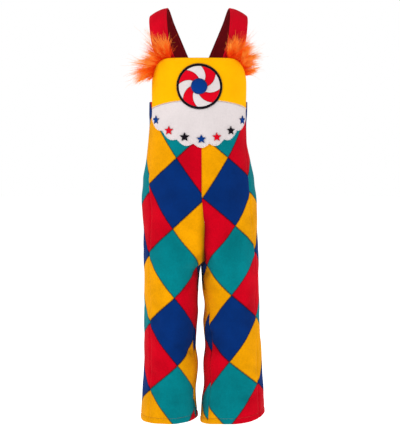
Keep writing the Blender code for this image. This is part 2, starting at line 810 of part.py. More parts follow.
def tuft(name, side, collection):
    """A curved strip behind the bib's corner with its locks."""
    table = curves(LOCK_COLUMNS, LOCKS, {"along": 1.0, "length": MM, "angle": 1.0, "lean": 1.0})
    mesh_data = bmesh.new()
    sections = [tuft_section(side, i / TUFT_LOCKS) for i in range(TUFT_LOCKS + 1)]
    verts = [[mesh_data.verts.new(place) for place in section] for section in sections]
    outer_faces = []
    count = len(verts[0])
    for before, after in zip(verts, verts[1:]):
        for j in range(count):
            k = (j + 1) % count
            face = mesh_data.faces.new((before[j], after[j], after[k], before[k]))
            if j == 2:
                outer_faces.append(face)
    for section in (verts[0], verts[-1]):
        mesh_data.faces.new(section)
    for i, face in enumerate(outer_faces):
        along = (i + 0.5) / TUFT_LOCKS
        length = table["length"](along) * LOCK_VARIES[i % len(LOCK_VARIES)]
        lean = table["lean"](along) + LOCK_TIPS[i % len(LOCK_TIPS)]
        grow_lock(mesh_data, face, lock_direction(side, table["angle"](along), lean), length)
    return finish_object(name, mesh_data, "orange", collection)


def main():
    for old in list(bpy.data.objects):
        bpy.data.objects.remove(old, do_unlink=True)
    collection = bpy.data.collections.new("clown_dungarees")
    bpy.context.scene.collection.children.link(collection)
    leg_panel("front_left", LEFT, False, "blue", collection)
    leg_panel("front_right", RIGHT, False, "yellow", collection)
    leg_panel("back_left", LEFT, True, "teal", collection)
    leg_panel("back_right", RIGHT, True, "red", collection)
    bib_piece("bib_upper", bib_top, yoke_top, 0.0, "bib_yellow", collection)
    bib_piece("bib_yoke", yoke_top, yoke_low, SEAM_GAP, "white", collection)
    for i in range(VANE_COUNT):
        colour = VANE_COLOURS[i % len(VANE_COLOURS)]
        vane(f"vane_{i + 1}", 2 * math.pi * i / VANE_COUNT, colour, collection)
    rosette_ring(collection)
    rosette_dome(collection)
    stars(collection)
    for name, side in SIDES.items():
        strap("strap_" + name, side, collection)
        tuft("tuft_" + name, side, collection)


main()
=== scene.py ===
"""Clown dungarees, finished: printed fleece legs with their creases, seams and stitched hems, a felt bib
with a stitched rosette and stars on a scalloped yoke, doubled straps and two tufts of orange fun fur."""

import math

import bmesh
import bpy
import numpy as np
from mathutils import Matrix, Vector


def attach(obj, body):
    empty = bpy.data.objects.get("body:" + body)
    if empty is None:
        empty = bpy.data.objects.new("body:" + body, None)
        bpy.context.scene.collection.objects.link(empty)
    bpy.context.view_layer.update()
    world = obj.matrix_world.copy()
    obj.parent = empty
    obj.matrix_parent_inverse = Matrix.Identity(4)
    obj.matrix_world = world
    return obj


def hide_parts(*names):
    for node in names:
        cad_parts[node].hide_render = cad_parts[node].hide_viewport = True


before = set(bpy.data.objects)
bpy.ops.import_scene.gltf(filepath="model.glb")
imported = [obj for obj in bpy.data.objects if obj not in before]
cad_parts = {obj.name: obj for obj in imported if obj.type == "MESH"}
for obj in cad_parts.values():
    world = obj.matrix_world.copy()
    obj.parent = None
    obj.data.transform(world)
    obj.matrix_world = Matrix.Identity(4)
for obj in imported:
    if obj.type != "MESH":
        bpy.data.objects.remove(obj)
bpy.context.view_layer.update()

MM = 0.001
LEFT, RIGHT = -1, 1  # seen from the front
SIDES = {"left": LEFT, "right": RIGHT}
SIDE_NAME = {LEFT: "left", RIGHT: "right"}

# Cloth
FLEECE_WALL = 2.4 * MM
BIB_WALL = 2.6 * MM
MOTIF_WALL = 1.4 * MM
STRAP_WALL = 2.8 * MM
SEAM_GAP = 0.3 * MM  # between two pieces at a seam
LAY_GAP = 0.4 * MM  # between two pieces that lie on each other
MOTIF_BASE = LAY_GAP + BIB_WALL + LAY_GAP  # where the rosette and the stars lie, off the body
SEWN_GAP = 0.05 * MM  # what is left of the gap where two leg panels are sewn together
CELL = 2.5 * MM  # mesh size on the legs
FINE_CELL = 1.6 * MM  # mesh size on the bib and the straps
STEP_TURN = 0.5  # degrees to each side over which a direction is measured
STEP_DOWN = 1.0 * MM  # and how far up and down

# Heights, down from the shoulders
WAIST_Z = -174 * MM
FRONT_DIP = 21 * MM
BACK_RISE = 29 * MM
BACK_RISE_FROM, BACK_RISE_TO = 112.0, 146.0  # degrees round
FORK_TOP_Z = -362 * MM
CROTCH_Z = -489 * MM
HEM_Z = -787 * MM
# How much higher than in front each leg's hem is at its outer and at its inner side
HEM_LIFTS = {LEFT: (-2 * MM, 3 * MM), RIGHT: (10 * MM, -8 * MM)}
TOP_FADE, HEM_FADE = 130 * MM, 80 * MM  # how far from the edges their shape moves the rows
FORK_POWER_FRONT, FORK_POWER_BACK = 2.0, 3.0
SIDE_BLEND = math.radians(75)  # the angle from which a section has its outer centre

# The filled garment's outline in millimetres and its side seams in degrees round from the front
BODY_COLUMNS = ("z", "left", "right", "front", "back", "left_seam", "right_seam")
BODY = (
    (-85, -92.0, 92.0, 66, 70, 78, 78),
    (-150, -93.6, 93.8, 70, 74, 78, 78),
    (-208, -94.5, 92.8, 72, 76, 76, 75),
    (-247, -96.5, 92.5, 74, 79, 73, 72),
    (-285, -100.1, 99.2, 78, 85, 69, 68),
    (-324, -107.0, 107.5, 82, 91, 63, 62),
    (-362, -109.6, 112.0, 84, 94, 58, 60),
    (-401, -107.8, 113.6, 84, 93, 57, 60),
    (-459, -106.3, 115.6, 80, 88, 55, 60),
    (-490, -105.7, 116.5, 76, 83, 53, 60),
    (-560, -105.3, 117.8, 69, 74, 50, 59),
    (-640, -106.1, 121.6, 64, 68, 47, 57),
    (-714, -108.3, 125.8, 62, 65, 45, 54),
    (-787, -112.6, 129.0, 60, 63, 44, 54),
)
# Across, the middle seam, and below the crotch each leg's inner edge with its inseam's turn
MIDDLE_COLUMNS = ("z", "x")
MIDDLE = (
    (-85, 0.0),
    (-170, 1.5),
    (-262, 6.0),
    (-340, 6.0),
    (-386, 9.0),
    (-408, 11.5),
    (-440, 10.5),
    (-474, 11.0),
    (-489, 4.8),
)
INNER_COLUMNS = ("z", "left", "right", "left_seam", "right_seam")
INNER = (
    (-489, 4.8, 4.8, -90, -90),
    (-505, 1.6, 6.0, -82, -80),
    (-531, 0.0, 7.0, -75, -68),
    (-574, -0.4, 11.2, -70, -57),
    (-598, -2.2, 9.0, -68, -54),
    (-640, -4.9, 12.4, -68, -52),
    (-680, -0.4, 8.8, -68, -52),
    (-710, -3.0, 10.4, -68, -52),
    (-745, -4.8, 6.8, -68, -52),
    (-787, -1.0, 3.9, -68, -52),
)

# Folds on each half: where each is (mm down, degrees round), which way it runs (0 level, 90 upright, rising
# to the outer side), and its length, width and depth in millimetres
FOLD_COLUMNS = ("z", "turn", "runs", "length", "width", "depth")
LARGE_FOLDS = {
    LEFT: (
        (-452, 8, 34, 80, 13, 3.0),
        (-432, 24, 22, 70, 14, 1.8),
        (-640, -48, 8, 70, 22, 2.2),
        (-724, 22, -12, 80, 20, 1.6),
        (-468, 196, 20, 84, 18, 5.0),
        (-506, 184, 8, 90, 17, 3.6),
        (-640, 182, 6, 96, 22, 4.0),
        (-424, 100, -40, 70, 20, 2.4),
        (-668, 96, 12, 70, 20, 2.0),
    ),
    RIGHT: (
        (-448, 12, 30, 84, 13, 2.8),
        (-424, 28, 24, 64, 14, 1.6),
        (-628, -44, -6, 76, 24, 2.4),
        (-704, 8, 14, 90, 20, 1.8),
        (-474, 192, 16, 90, 18, 5.0),
        (-512, 180, 10, 84, 17, 3.8),
        (-632, 176, -8, 100, 22, 4.2),
        (-430, 102, -36, 74, 20, 2.2),
        (-600, 98, -14, 66, 20, 2.0),
    ),
}
# The finer creases, placed as in the photograph on the front and alike on the sides and back
CREASES = {
    LEFT: (
        (-470, -34, 52, 46, 5.0, 1.9),
        (-441, -20, 38, 44, 4.5, 1.3),
        (-420, -8, 60, 38, 5.0, 0.9),
        (-498, -58, 14, 44, 6.0, 1.6),
        (-520, -40, -22, 52, 7.0, 1.0),
        (-556, 34, 30, 58, 8.0, 1.0),
        (-588, 40, -14, 46, 7.0, 0.9),
        (-636, -20, 12, 40, 6.5, 1.2),
        (-652, -56, 20, 42, 6.0, 1.5),
        (-690, 38, 22, 52, 8.0, 0.9),
        (-744, -14, 8, 60, 8.0, 0.9),
        (-352, 34, -28, 54, 9.0, 0.7),
        (-300, 120, -14, 70, 9.0, 1.1),
        (-352, 146, -22, 66, 8.0, 1.2),
        (-410, 152, 30, 60, 8.0, 1.6),
        (-486, 160, 24, 70, 8.0, 2.0),
        (-540, 150, -16, 56, 8.0, 1.3),
        (-612, 168, 10, 64, 8.0, 1.7),
        (-662, 156, -12, 58, 7.5, 1.5),
        (-716, 172, 16, 62, 9.0, 1.0),
        (-560, 92, 22, 46, 8.0, 0.9),
    ),
    RIGHT: (
        (-466, -30, 48, 44, 5.0, 1.7),
        (-438, -14, 62, 52, 5.5, 1.5),
        (-414, -2, 40, 34, 4.5, 0.8),
        (-500, -56, 18, 40, 6.0, 1.5),
        (-528, -38, -16, 50, 7.0, 1.1),
        (-560, 36, 24, 50, 8.0, 0.9),
        (-592, 30, -18, 54, 7.5, 0.8),
        (-616, -54, 16, 44, 6.0, 1.5),
        (-644, -40, -18, 48, 7.0, 1.2),
        (-682, 44, -24, 56, 8.0, 0.9),
        (-738, 26, -10, 64, 8.0, 1.0),
        (-346, 38, -30, 58, 9.0, 0.7),
        (-306, 124, -10, 74, 9.0, 1.1),
        (-346, 150, -26, 62, 8.0, 1.2),
        (-404, 150, 34, 64, 8.0, 1.6),
        (-492, 158, 20, 66, 8.0, 2.0),
        (-548, 146, -20, 60, 8.0, 1.3),
        (-604, 162, 12, 62, 8.0, 1.7),
        (-656, 150, -10, 60, 7.5, 1.5),
        (-724, 168, -14, 66, 9.0, 1.0),
        (-536, 94, 26, 48, 8.0, 0.9),
    ),
}
CREASE_DEPTH = 1.35  # the creases pressed this much deeper than the table says
FOLD_ARC = 64 * MM  # radius by which degrees round become a length
FOLD_CLEAR = 16.0  # degrees beside the middle seam over which folds fade in
FOLD_BELOW = 40 * MM  # below the crotch, where they go on round the leg
RIPPLES = (  # how long each wave of the loose cloth is down and round, its start and its height, mm
    (96, 61, 0.4, 0.34),
    (-58, 47, 2.1, 0.26),
    (41, -83, 4.0, 0.22),
    (150, 39, 1.2, 0.3),
)
RIPPLE_LOWEST = -0.35 * MM
COVERED_TO = -270 * MM  # the fronts lie flat down to here, under the bib
COVER_FADE = 40 * MM
CALM_ABOVE, CALM_BESIDE = 20 * MM, 14 * MM  # no ripples near the middle seam where the legs part

# Seams and hems: the width and depth of a seam's valley, its allowance beside it, and the hem's groove
VALLEY_WIDTH, VALLEY_DEPTH = 2.2 * MM, 1.1 * MM
ALLOWANCE_IN, ALLOWANCE_WIDTH, ALLOWANCE_RISE = 6 * MM, 3.5 * MM, 0.5 * MM
GROOVE_WIDTH = 1.3 * MM
GROOVE_LEAST, GROOVE_MORE = 0.7, 0.5  # its depth in millimetres, and how much deeper it puckers
FULL_LEAST, FULL_MORE = 0.35, 0.35  # and how far the cloth between it and the edge stands out
HEM_TURN = 2 * MM
HEM_ROLL, TOP_ROLL = (2.2 * MM, 1.1 * MM), (1.4 * MM, 0.9 * MM)  # how far in, and down, a soft edge rolls
PUCKERS = (2.1 * MM, 3.4 * MM)  # lengths of their waves
SIDE_START, MIDDLE_START = 0.7, 1.9  # where the waves start along each seam
THINNEST = 1.3 * MM  # what is left of the wall under the deepest crease

# Painted shade on the print: in creases, round the crotch and in the cleft above it
CROTCH_SHADE, CROTCH_NARROW = 44 * MM, 1.6  # how far it reaches, and how much less far sideways
CLEFT_WIDTH = 9 * MM
CREASE_PAINTED_SHADE, CROTCH_PAINTED_SHADE, CLEFT_PAINTED_SHADE = 0.45, 0.95, 0.75
VALLEY_PAINTED_SHADE = 0.3  # painted shade, as a share of a crease's full shade, for each millimetre that a seam sinks
FOLD_FULL, CREASE_FULL = 7 * MM, 3.2 * MM  # depths at which a fold or a crease gets its full painted shade

# Rows of the legs from waist to hem: a height at the side seam and one at the middle seam or inseam
ROW_COLUMNS = ("side", "middle")
LEG_ROWS = (
    (-174, -174), (-200, -200), (-224, -227), (-247, -254), (-270, -281), (-293, -308), (-316, -335),
    (-339, -362), (-361, -388), (-382, -411), (-402, -431), (-420, -448), (-436, -462), (-450, -473),
    (-461, -480.5), (-471, -485.5), (-480, -488.2), (-489, -489), (-501, -499), (-515, -512),
    (-532, -530), (-552, -551), (-576, -576), (-600, -600), (-625, -625), (-650, -650), (-680, -680),
    (-710, -710), (-745, -745), (-773, -773), (-787, -787),
)
ROW_SAG_POWER = 1.5  # how suddenly a row comes down towards the middle

# Print: half a diamond's width, and for each leg where its centre line runs and which line of the pattern,
# counted in half diamonds down from the first blue diamond, crosses it there
DIAMOND_HALF_WIDTH = 60 * MM
DIAMOND_HALF_HEIGHT = 66 * MM
PRINT_LINE_TURNS = (-60, 75)  # between these turns the centre line is looked for
PRINT_COLUMNS = ("z", "x", "line")
PRINT_LINES = {
    LEFT: (
        (-148, -37.0, -3),
        (-279.9, -41.0, -1),
        (-412.5, -48.6, 1),
        (-543.6, -45.2, 3),
        (-674.1, -39.8, 5),
        (-804.0, -36.0, 7),
    ),
    RIGHT: (
        (-149, 44.0, -3),
        (-279.0, 55.3, -1),
        (-407.0, 69.4, 1),
        (-537.9, 62.3, 3),
        (-666.4, 58.8, 5),
        (-795.0, 57.0, 7),
    ),
}
PRINT_RISE = {LEFT: 0.21, RIGHT: 0.245}  # how steeply the lines rise to the outer side
PRINT_RISE_CURVE = 1.0  # and how much more so further out, for each metre
BACK_PRINT_COLUMNS = ("z", "start")
BACK_PRINT = ((-170, 1.3), (-330, 1.24), (-430, 1.04), (-790, 1.02))  # first line at the side seam
BACK_PRINT_TILT = 0.35

# Bib, measured round the cloth from its middle and down from the shoulders
BIB_TOP_Z = -93.5 * MM
BIB_FLAT = 60 * MM
BIB_SIDE_TURN = 70.0
BIB_SIDE_TOP_Z = -138 * MM
BIB_CORNER_POWER = 1.95
YOKE_TOP_Z = -172 * MM
YOKE_TOP_FALL = 15 * MM
YOKE_LOW_Z = -254 * MM
YOKE_LOW_RISE = 49 * MM
EDGE_DROP = 0.75  # how far a soft edge rolls down, of the cloth's thickness
BIB_ROLL, RING_ROLL, VANE_ROLL, STAR_ROLL = 2.0 * MM, 1.2 * MM, 1.0 * MM, 0.9 * MM  # and how far in
BIB_WAVE, BIB_WAVE_WIDE, BIB_WAVE_HIGH = 0.22 * MM, 17 * MM, 13 * MM
SCALLOPS = 7
SCALLOP_CELLS = 18
SCALLOP_DROP = 7 * MM
BIB_REFERENCE_Z = -190 * MM  # height of the section round which the bib is measured

ROSETTE_Z = -147 * MM
DOME_RADIUS = 14 * MM
DOME_HEIGHT = 8 * MM
GATHERS, GATHER_DEPTH = 17, 0.35 * MM
VANE_COUNT = 8
VANE_OUT = 37.7 * MM
VANE_SWEEP = math.radians(38.0)
VANE_CROWN = 0.35 * MM
VANE_WIDTH = 20 * MM  # by which its mesh is laid out
VANE_EDGE = (0.0, 0.3, 0.7, 1.2)
RING_GRID, DOME_GRID, STRIP_GRID = (9, 145), (19, 73), (41, 9)
RING_OUT = 42 * MM
STAR_RADIUS = 8.6 * MM
STAR_WAIST = 0.46
STAR_UP = 16 * MM
VANE_CLOTHS = ("red", "white")
STAR_CLOTHS = ("blue", "red", "black")

# Straps: their ends on the body, and rows of the inner and the outer edge between them
STRAP_WIDTH = 37 * MM
STRAP_BIB_COLUMNS = ("z", "inner", "lift")
STRAP_BIB_END = ((-140, 37.0, -0.4), (-122, 39.5, -1.6), (-104, 44.0, -3.8))
STRAP_COLUMNS = ("ix", "iy", "iz", "ox", "oy", "oz", "bow")
STRAP = (
    (50.0, -49.0, -80, 84.0, -21.5, -82, 3.0),
    (56.5, -40.5, -54, 91.0, -16.5, -58, 3.0),
    (60.0, -26.0, -20, 94.0, -11.0, -31, 3.0),
    (60.3, -12.0, -2, 94.6, -4.0, -16.5, 3.0),
    (58.5, 3.0, 5.5, 93.0, 6.0, -10, 3.0),
    (55.0, 18.0, 1.0, 90.0, 18.0, -15, 2.5),
    (47.5, 40.0, -20, 83.0, 37.0, -33, 2.0),
    (37.0, 56.0, -45, 74.0, 53.0, -58, 1.5),
    (25.5, 66.0, -72, 63.0, 64.0, -86, 1.2),
    (12.5, 71.0, -104, 50.5, 70.0, -116, 1.0),
)
STRAP_BACK_COLUMNS = ("z", "inner")
STRAP_BACK_END = ((-146, 1.5), (-178, 1.5))
STRAP_MIDDLE = 70 * MM  # the straps bow away from here, this far under the shoulders
STRAP_ROLL = (1.8 * MM, 1.2 * MM)  # how far in, and down, their edges roll
STRAP_GROOVE_WIDTH, STRAP_GROOVE = 1.0 * MM, 0.5  # along the stitches; the depth is in millimetres
STRAP_WAVE, STRAP_WAVE_LONG, STRAP_WAVE_WIDE = 0.3 * MM, 19 * MM, 11 * MM
REVERSE_SUNK = 0.8  # how far the inner side sinks, of what the face does

# Tufts of fur on a narrow strip behind each corner of the bib
TUFT_FROM, TUFT_TO = 57 * MM, 103 * MM
STRIP_IN, STRIP_OUT, STRIP_WALL = -4.0 * MM, 3.5 * MM, 2.4 * MM
FUR_CLUMPS = 66  # loose clumps that the hairs gather in
FUR_HAIRS = 5000
FUR_POINTS = 6
FUR_THICK = 0.6 * MM  # coarser than the real 0.1 mm, so that single hairs show
UNDERCOAT = 0.3  # share of short woolly hairs
FUR_END = 0.94  # share of the corner that the fur covers
FUR_FRONT = -94 * MM  # no hair stands further forward than this
FUR_COLUMNS = ("along", "length", "angle", "lean")
FUR_LIE = {  # how long the fur is down each corner, its rise from level, and how far it leans forward
    LEFT: (
        (0.0, 62, 69, 6),
        (0.2, 52, 62, 10),
        (0.4, 42, 42, 12),
        (0.6, 43, 14, 12),
        (0.8, 50, -12, 8),
        (1.0, 46, -38, 4),
    ),
    RIGHT: (
        (0.0, 42, 71, 6),
        (0.2, 50, 64, 10),
        (0.4, 50, 50, 12),
        (0.6, 45, 38, 12),
        (0.8, 34, 24, 8),
        (1.0, 20, -8, 4),
    ),
}
CLUMP_TURN, CLUMP_SWING = 9, 0.13  # how unevenly the clumps rise, in degrees, and bend sideways
CLUMP_LEAN = (-16, 30)
CLUMP_LENGTHS = (0.5, 1.06)
ROOT_SPREAD = 0.024  # how far from its clump a hair grows, as a share of the corner
UNDER_SPREAD, HAIR_SPREAD = 17, 4  # degrees, for woolly hairs and for long ones
UNDER_LENGTHS, HAIR_LENGTHS, STRAY_LENGTHS = (0.3, 0.6), (0.6, 1.03), (1.0, 1.25)
STRAY_SHARE = 0.07
HAIR_SWING, STRAY_SWING = 0.07, 2.6  # the second is times the first
DROOP = (1.2, 3.6)
DRAWN = 0.85  # how far a hair's tip is drawn to its clump
KINK = 0.9 * MM
CLUMP_TONE, HAIR_TONE, UNDER_DEEPER = 0.8, 0.5, 0.45  # how unevenly the fur is coloured
FUR_SEEDS = {LEFT: 11, RIGHT: 23}

# Sewing
HEM_UP = 11.5 * MM  # from the hem's edge to its stitches
EDGE_STITCH_IN = 4.0 * MM
STITCH_STEP = 3.0 * MM
STITCH_LENGTH = 2.3 * MM
SATIN_STEP = 0.95 * MM
SATIN_LENGTH = 2.2 * MM
SATIN_SLANT = 0.35
STAR_SATIN, VANE_SATIN = 1.5 * MM, 1.7 * MM  # shorter stitches
YOKE_TOP_SATIN, YOKE_LOW_SATIN = 2.8 * MM, 2.6 * MM  # longer ones
SATIN_IN_EDGE = 0.7  # how high they lie on the edge of a motif, of its wall
DOME_SATIN_RISE, VANE_SATIN_RISE = 0.3 * MM, 0.2 * MM  # higher than that
THREAD, THICK_THREAD = 0.42 * MM, 0.5 * MM
HEM_STITCH_LIFT, STRAP_STITCH_LIFT = 0.15, 0.12  # of the thread's middle off the cloth, in millimetres

# How each piece was cut: width and length of the rectangle that it was cut from, and its own area
LEG_CUTS = {
    "front_left": (0.150, 0.620, 0.0705),
    "front_right": (0.155, 0.620, 0.0682),
    "back_left": (0.240, 0.650, 0.1400),
    "back_right": (0.240, 0.650, 0.1390),
}

PRINT_COLOURS = {"blue": "#032967", "red": "#BC0018", "yellow": "#DC9300", "teal": "#00747C"}
CLOTH_COLOURS = {
    "yellow": "#F2AC00",
    "white": "#D1C8C8",
    "red": "#CE041C",
    "blue": "#06347C",
    "black": "#120D14",
}
THREAD_COLOURS = {
    "yellow": "#E8A800",
    "white": "#E2DCDC",
    "red": "#A80818",
    "blue": "#0A2F6C",
    "black": "#17121A",
    "brown": "#7A3A1C",
}
# Real fleece has a grain of 0.6 mm, too fine to show, so grain and mottling are drawn larger
NAP_GRAIN = 1.5 * MM
NAP_MOTTLE = 3.4 * MM
NAP_PATCH = 38.0 * MM
FELT_GRAIN = 1.1 * MM
FRAYED, FRAY = 3 * MM, 0.012  # grain of the wavering print lines, and how far they waver, in diamonds
LINE_FROM, LINE_TO, LINE_SHADE = 0.475, 0.497, 0.25  # where the dark line begins and is full, its shade
DEEPEST_PAINTED_SHADE = 0.2  # what is left of a colour under the deepest painted shade
FUR_LIT = 0.9  # the fur shades itself

# The photograph's camera: how far it stands off, how high it looks from, where it aims
CAMERA_OFF = 2.3
CAMERA_RISE = math.radians(4.0)
CAMERA_AIM = Vector((0.0029, 0.0, -0.3942))
PICTURE_HEIGHT, FOCAL_PIXELS = 433, 1190.5
SENSOR = 24.0
WHITE = (1.0, 1.0, 1.0, 1.0)
FLOOR_Z = -832 * MM
ROOM_LIGHT = 0.42  # light from the white room, of what its walls show


class Curve:
    """A smooth curve through a table's points that doesn't swing past them."""

    def __init__(self, places, values):
        order = np.argsort(places)
        self.places = np.array(places, float)[order]
        self.values = np.array(values, float)[order]
        steps = np.diff(self.values) / np.diff(self.places)
        product = steps[:-1] * steps[1:]
        total = np.where(product > 0, steps[:-1] + steps[1:], 1.0)
        middle = np.where(product > 0, 2 * product / total, 0.0)
        self.slopes = np.concatenate([steps[:1], middle, steps[-1:]])

    def __call__(self, place):
        place = np.clip(place, self.places[0], self.places[-1])
        i = np.clip(np.searchsorted(self.places, place) - 1, 0, len(self.places) - 2)
        wide = self.places[i + 1] - self.places[i]
        t = (place - self.places[i]) / wide
        return (
            self.values[i] * (1 + 2 * t) * (1 - t) ** 2
            + self.slopes[i] * wide * t * (1 - t) ** 2
            + self.values[i + 1] * t * t * (3 - 2 * t)
            - self.slopes[i + 1] * wide * t * t * (1 - t)
        )


# A column is in millimetres if it isn't named here
PLAIN = ("left_seam", "right_seam", "line", "start", "row", "along", "angle", "lean")


def curves(columns, rows):
    """One curve for each column after the first, which gives the places."""
    units = [1.0 if name in PLAIN else MM for name in columns]
    places, *others = ([row[i] * unit for row in rows] for i, unit in enumerate(units))
    return {name: Curve(places, values) for name, values in zip(columns[1:], others)}


OUTLINE = curves(BODY_COLUMNS, BODY)
MIDDLE_X = curves(MIDDLE_COLUMNS, MIDDLE)["x"]
INSIDE = curves(INNER_COLUMNS, INNER)
PRINT = {side: curves(PRINT_COLUMNS, rows) for side, rows in PRINT_LINES.items()}
BACK_START = curves(BACK_PRINT_COLUMNS, BACK_PRINT)["start"]


def smoothstep(t):
    t = np.clip(t, 0.0, 1.0)
    return t * t * (3 - 2 * t)


def unit(vectors):
    return vectors / np.linalg.norm(vectors, axis=-1, keepdims=True)


def bell(distance, width):
    """1 at the middle and falling off smoothly to both sides."""
    return np.exp(-((distance / width) ** 2))


def run_along(path):
    """The distance along a path at each of its places."""
    return np.concatenate([[0.0], np.cumsum(np.linalg.norm(np.diff(path, axis=0), axis=-1))])


def fork_down(z):
    return np.clip((FORK_TOP_Z - z) / (FORK_TOP_Z - CROTCH_Z), 0.0, 1.0)


def parted(z, is_back):
    """How far the middle seam has sunk between the legs, as the sine of its turn."""
    return fork_down(z) ** np.where(is_back, FORK_POWER_BACK, FORK_POWER_FRONT)


def inner_edge(side, z):
    """Where a half ends towards the middle; above the crotch the two halves are sewn and touch."""
    below = INSIDE[SIDE_NAME[side]](z) + side * SEAM_GAP / 2
    return np.where(z >= CROTCH_Z, MIDDLE_X(z) + side * SEWN_GAP / 2, below)


def half_section(side, z, is_back):
    """The ellipse that one half follows at this height: half-width, and its two centres."""
    outer = OUTLINE[SIDE_NAME[side]](z)
    inner = inner_edge(side, z)
    half = abs(outer - inner) / (1 + smoothstep(fork_down(z)))
    return half, inner + side * half * parted(z, is_back), outer - side * half


def fold_depth(side, z, turn, folds):
    """How far these folds push the cloth in at each place."""
    turn = np.where(turn > 270, turn - 360, turn)
    sunk = np.zeros_like(z)
    for values in folds[side]:
        fold = dict(zip(FOLD_COLUMNS, values))
        across = np.radians(turn - fold["turn"]) * FOLD_ARC
        up = z - fold["z"] * MM
        runs = math.radians(fold["runs"])
        along = across * math.cos(runs) + up * math.sin(runs)
        off = up * math.cos(runs) - across * math.sin(runs)
        reach = 1 - smoothstep(abs(along) / (fold["length"] * MM / 2))
        sunk += fold["depth"] * MM * bell(off, fold["width"] * MM) * reach
    front_seam = -np.degrees(np.arcsin(parted(z, False)))
    back_seam = 180 + np.degrees(np.arcsin(parted(z, True)))
    clear = smoothstep((turn - front_seam) / FOLD_CLEAR) * smoothstep((back_seam - turn) / FOLD_CLEAR)
    below = smoothstep((CROTCH_Z - z) / FOLD_BELOW)
    return sunk * (clear + (1 - clear) * below)


def body_points(side, z, turn):
    """The outer face of the cloth at heights and turns, in degrees round from the front."""
    z, turn = np.broadcast_arrays(np.asarray(z, float), np.asarray(turn, float))
    is_back = (turn > 90) & (turn < 270)
    depth = np.where(is_back, OUTLINE["back"](z), OUTLINE["front"](z))
    angle = np.radians(np.where(is_back, 180 - turn, np.where(turn <= 90, turn, turn - 360)))
    facing = np.where(is_back, 1, -1)
    half, near_middle, near_side = half_section(side, z, is_back)
    seam = -np.arcsin(parted(z, is_back))
    blend = smoothstep((angle - seam) / (SIDE_BLEND - seam))
    x = near_middle + (near_side - near_middle) * blend + side * half * np.sin(angle)
    places = np.stack([x, facing * depth * np.cos(angle), z], axis=-1)
    out = np.stack([side * np.sin(angle) * depth, facing * np.cos(angle) * half, np.zeros_like(x)], axis=-1)
    return places - unit(out) * fold_depth(side, z, turn, LARGE_FOLDS)[..., None]


def body_normals(side, z, turn):
    """The directions straight out of the cloth."""
    across = body_points(side, z, turn + STEP_TURN) - body_points(side, z, turn - STEP_TURN)
    down = body_points(side, z - STEP_DOWN, turn) - body_points(side, z + STEP_DOWN, turn)
    return unit(np.cross(across, down)) * -side


def turn_for(side, z, turn, distance):
    """The turn that lies this distance further round."""
    arc = body_points(side, z, turn + STEP_TURN) - body_points(side, z, turn - STEP_TURN)
    return turn + distance * 2 * STEP_TURN / np.linalg.norm(arc, axis=-1)


def find_arc_turns():
    """Turns from the front and their distances round the bib's reference section, for each side."""
    table = {}
    for side in (LEFT, RIGHT):
        turns = np.arange(0.0, 102.0, 2.0)
        arcs = run_along(body_points(side, BIB_REFERENCE_Z, turns))
        table[side] = (Curve(arcs, turns), Curve(turns, arcs))
    return table


ARC_TURNS = find_arc_turns()
BIB_HALF = min(float(ARC_TURNS[side][1](BIB_SIDE_TURN)) for side in (LEFT, RIGHT))


def on_body(across, z, lift):
    """Places on the body, measured round from the middle of the front, and lifted off the cloth."""
    across, z, lift = np.broadcast_arrays(*(np.asarray(a, float) for a in (across, z, lift)))
    found = {}
    for side in (LEFT, RIGHT):
        turn = ARC_TURNS[side][0](abs(across))
        found[side] = body_points(side, z, turn) + body_normals(side, z, turn) * lift[..., None]
    return np.where((across < 0)[..., None], found[LEFT], found[RIGHT])


def steps_along(length, cell, edge=(0.0, 0.35, 0.8, 1.4, 2.2, 3.4)):
    """Shares of a length at which a mesh has its points: every cell, and closer at both ends."""
    near = np.array(edge) * MM
    last = near[-1] + cell
    count = max(int((length - 2 * last) / cell), 1)
    inside = np.linspace(last, length - last, count + 1)
    return np.concatenate([near, inside, length - near[::-1]]) / length


def edge_distances(grid):
    """How far each place of a grid is along the cloth from the first and last column and row."""
    across = np.linalg.norm(np.diff(grid, axis=1), axis=-1)
    down = np.linalg.norm(np.diff(grid, axis=0), axis=-1)
    from_left = np.concatenate([np.zeros((grid.shape[0], 1)), np.cumsum(across, axis=1)], axis=1)
    from_top = np.concatenate([np.zeros((1, grid.shape[1])), np.cumsum(down, axis=0)], axis=0)
    return from_left, from_left[:, -1:] - from_left, from_top, from_top[-1:] - from_top


def rolled(distance, radius, drop):
    """How far a soft edge has rolled down, this far in from it."""
    t = 1 - np.clip(distance / radius, 0.0, 1.0)
    return drop * (1 - np.sqrt(1 - t * t))


def wall_faces(rows, columns, open_sides):
    """Quads of two matching grids and of the rims that join them."""
    near = np.arange(rows * columns).reshape(rows, columns)
    far = near + rows * columns
    quads = [
        np.stack([grid[:-1, :-1], grid[:-1, 1:], grid[1:, 1:], grid[1:, :-1]], axis=-1).reshape(-1, 4)
        for grid in (near, far[:, ::-1])
    ]
    rims = {"top": np.s_[0], "bottom": np.s_[-1], "left": np.s_[:, 0], "right": np.s_[:, -1]}
    for name, line in rims.items():
        if name not in open_sides:
            a, b = near[line], far[line]
            quads.append(np.stack([a[:-1], a[1:], b[1:], b[:-1]], axis=-1))
    return np.concatenate(quads)


def placed(name, data):
    """A new object in the scene."""
    piece = bpy.data.objects.new(name, data)
    bpy.context.scene.collection.objects.link(piece)
    return piece


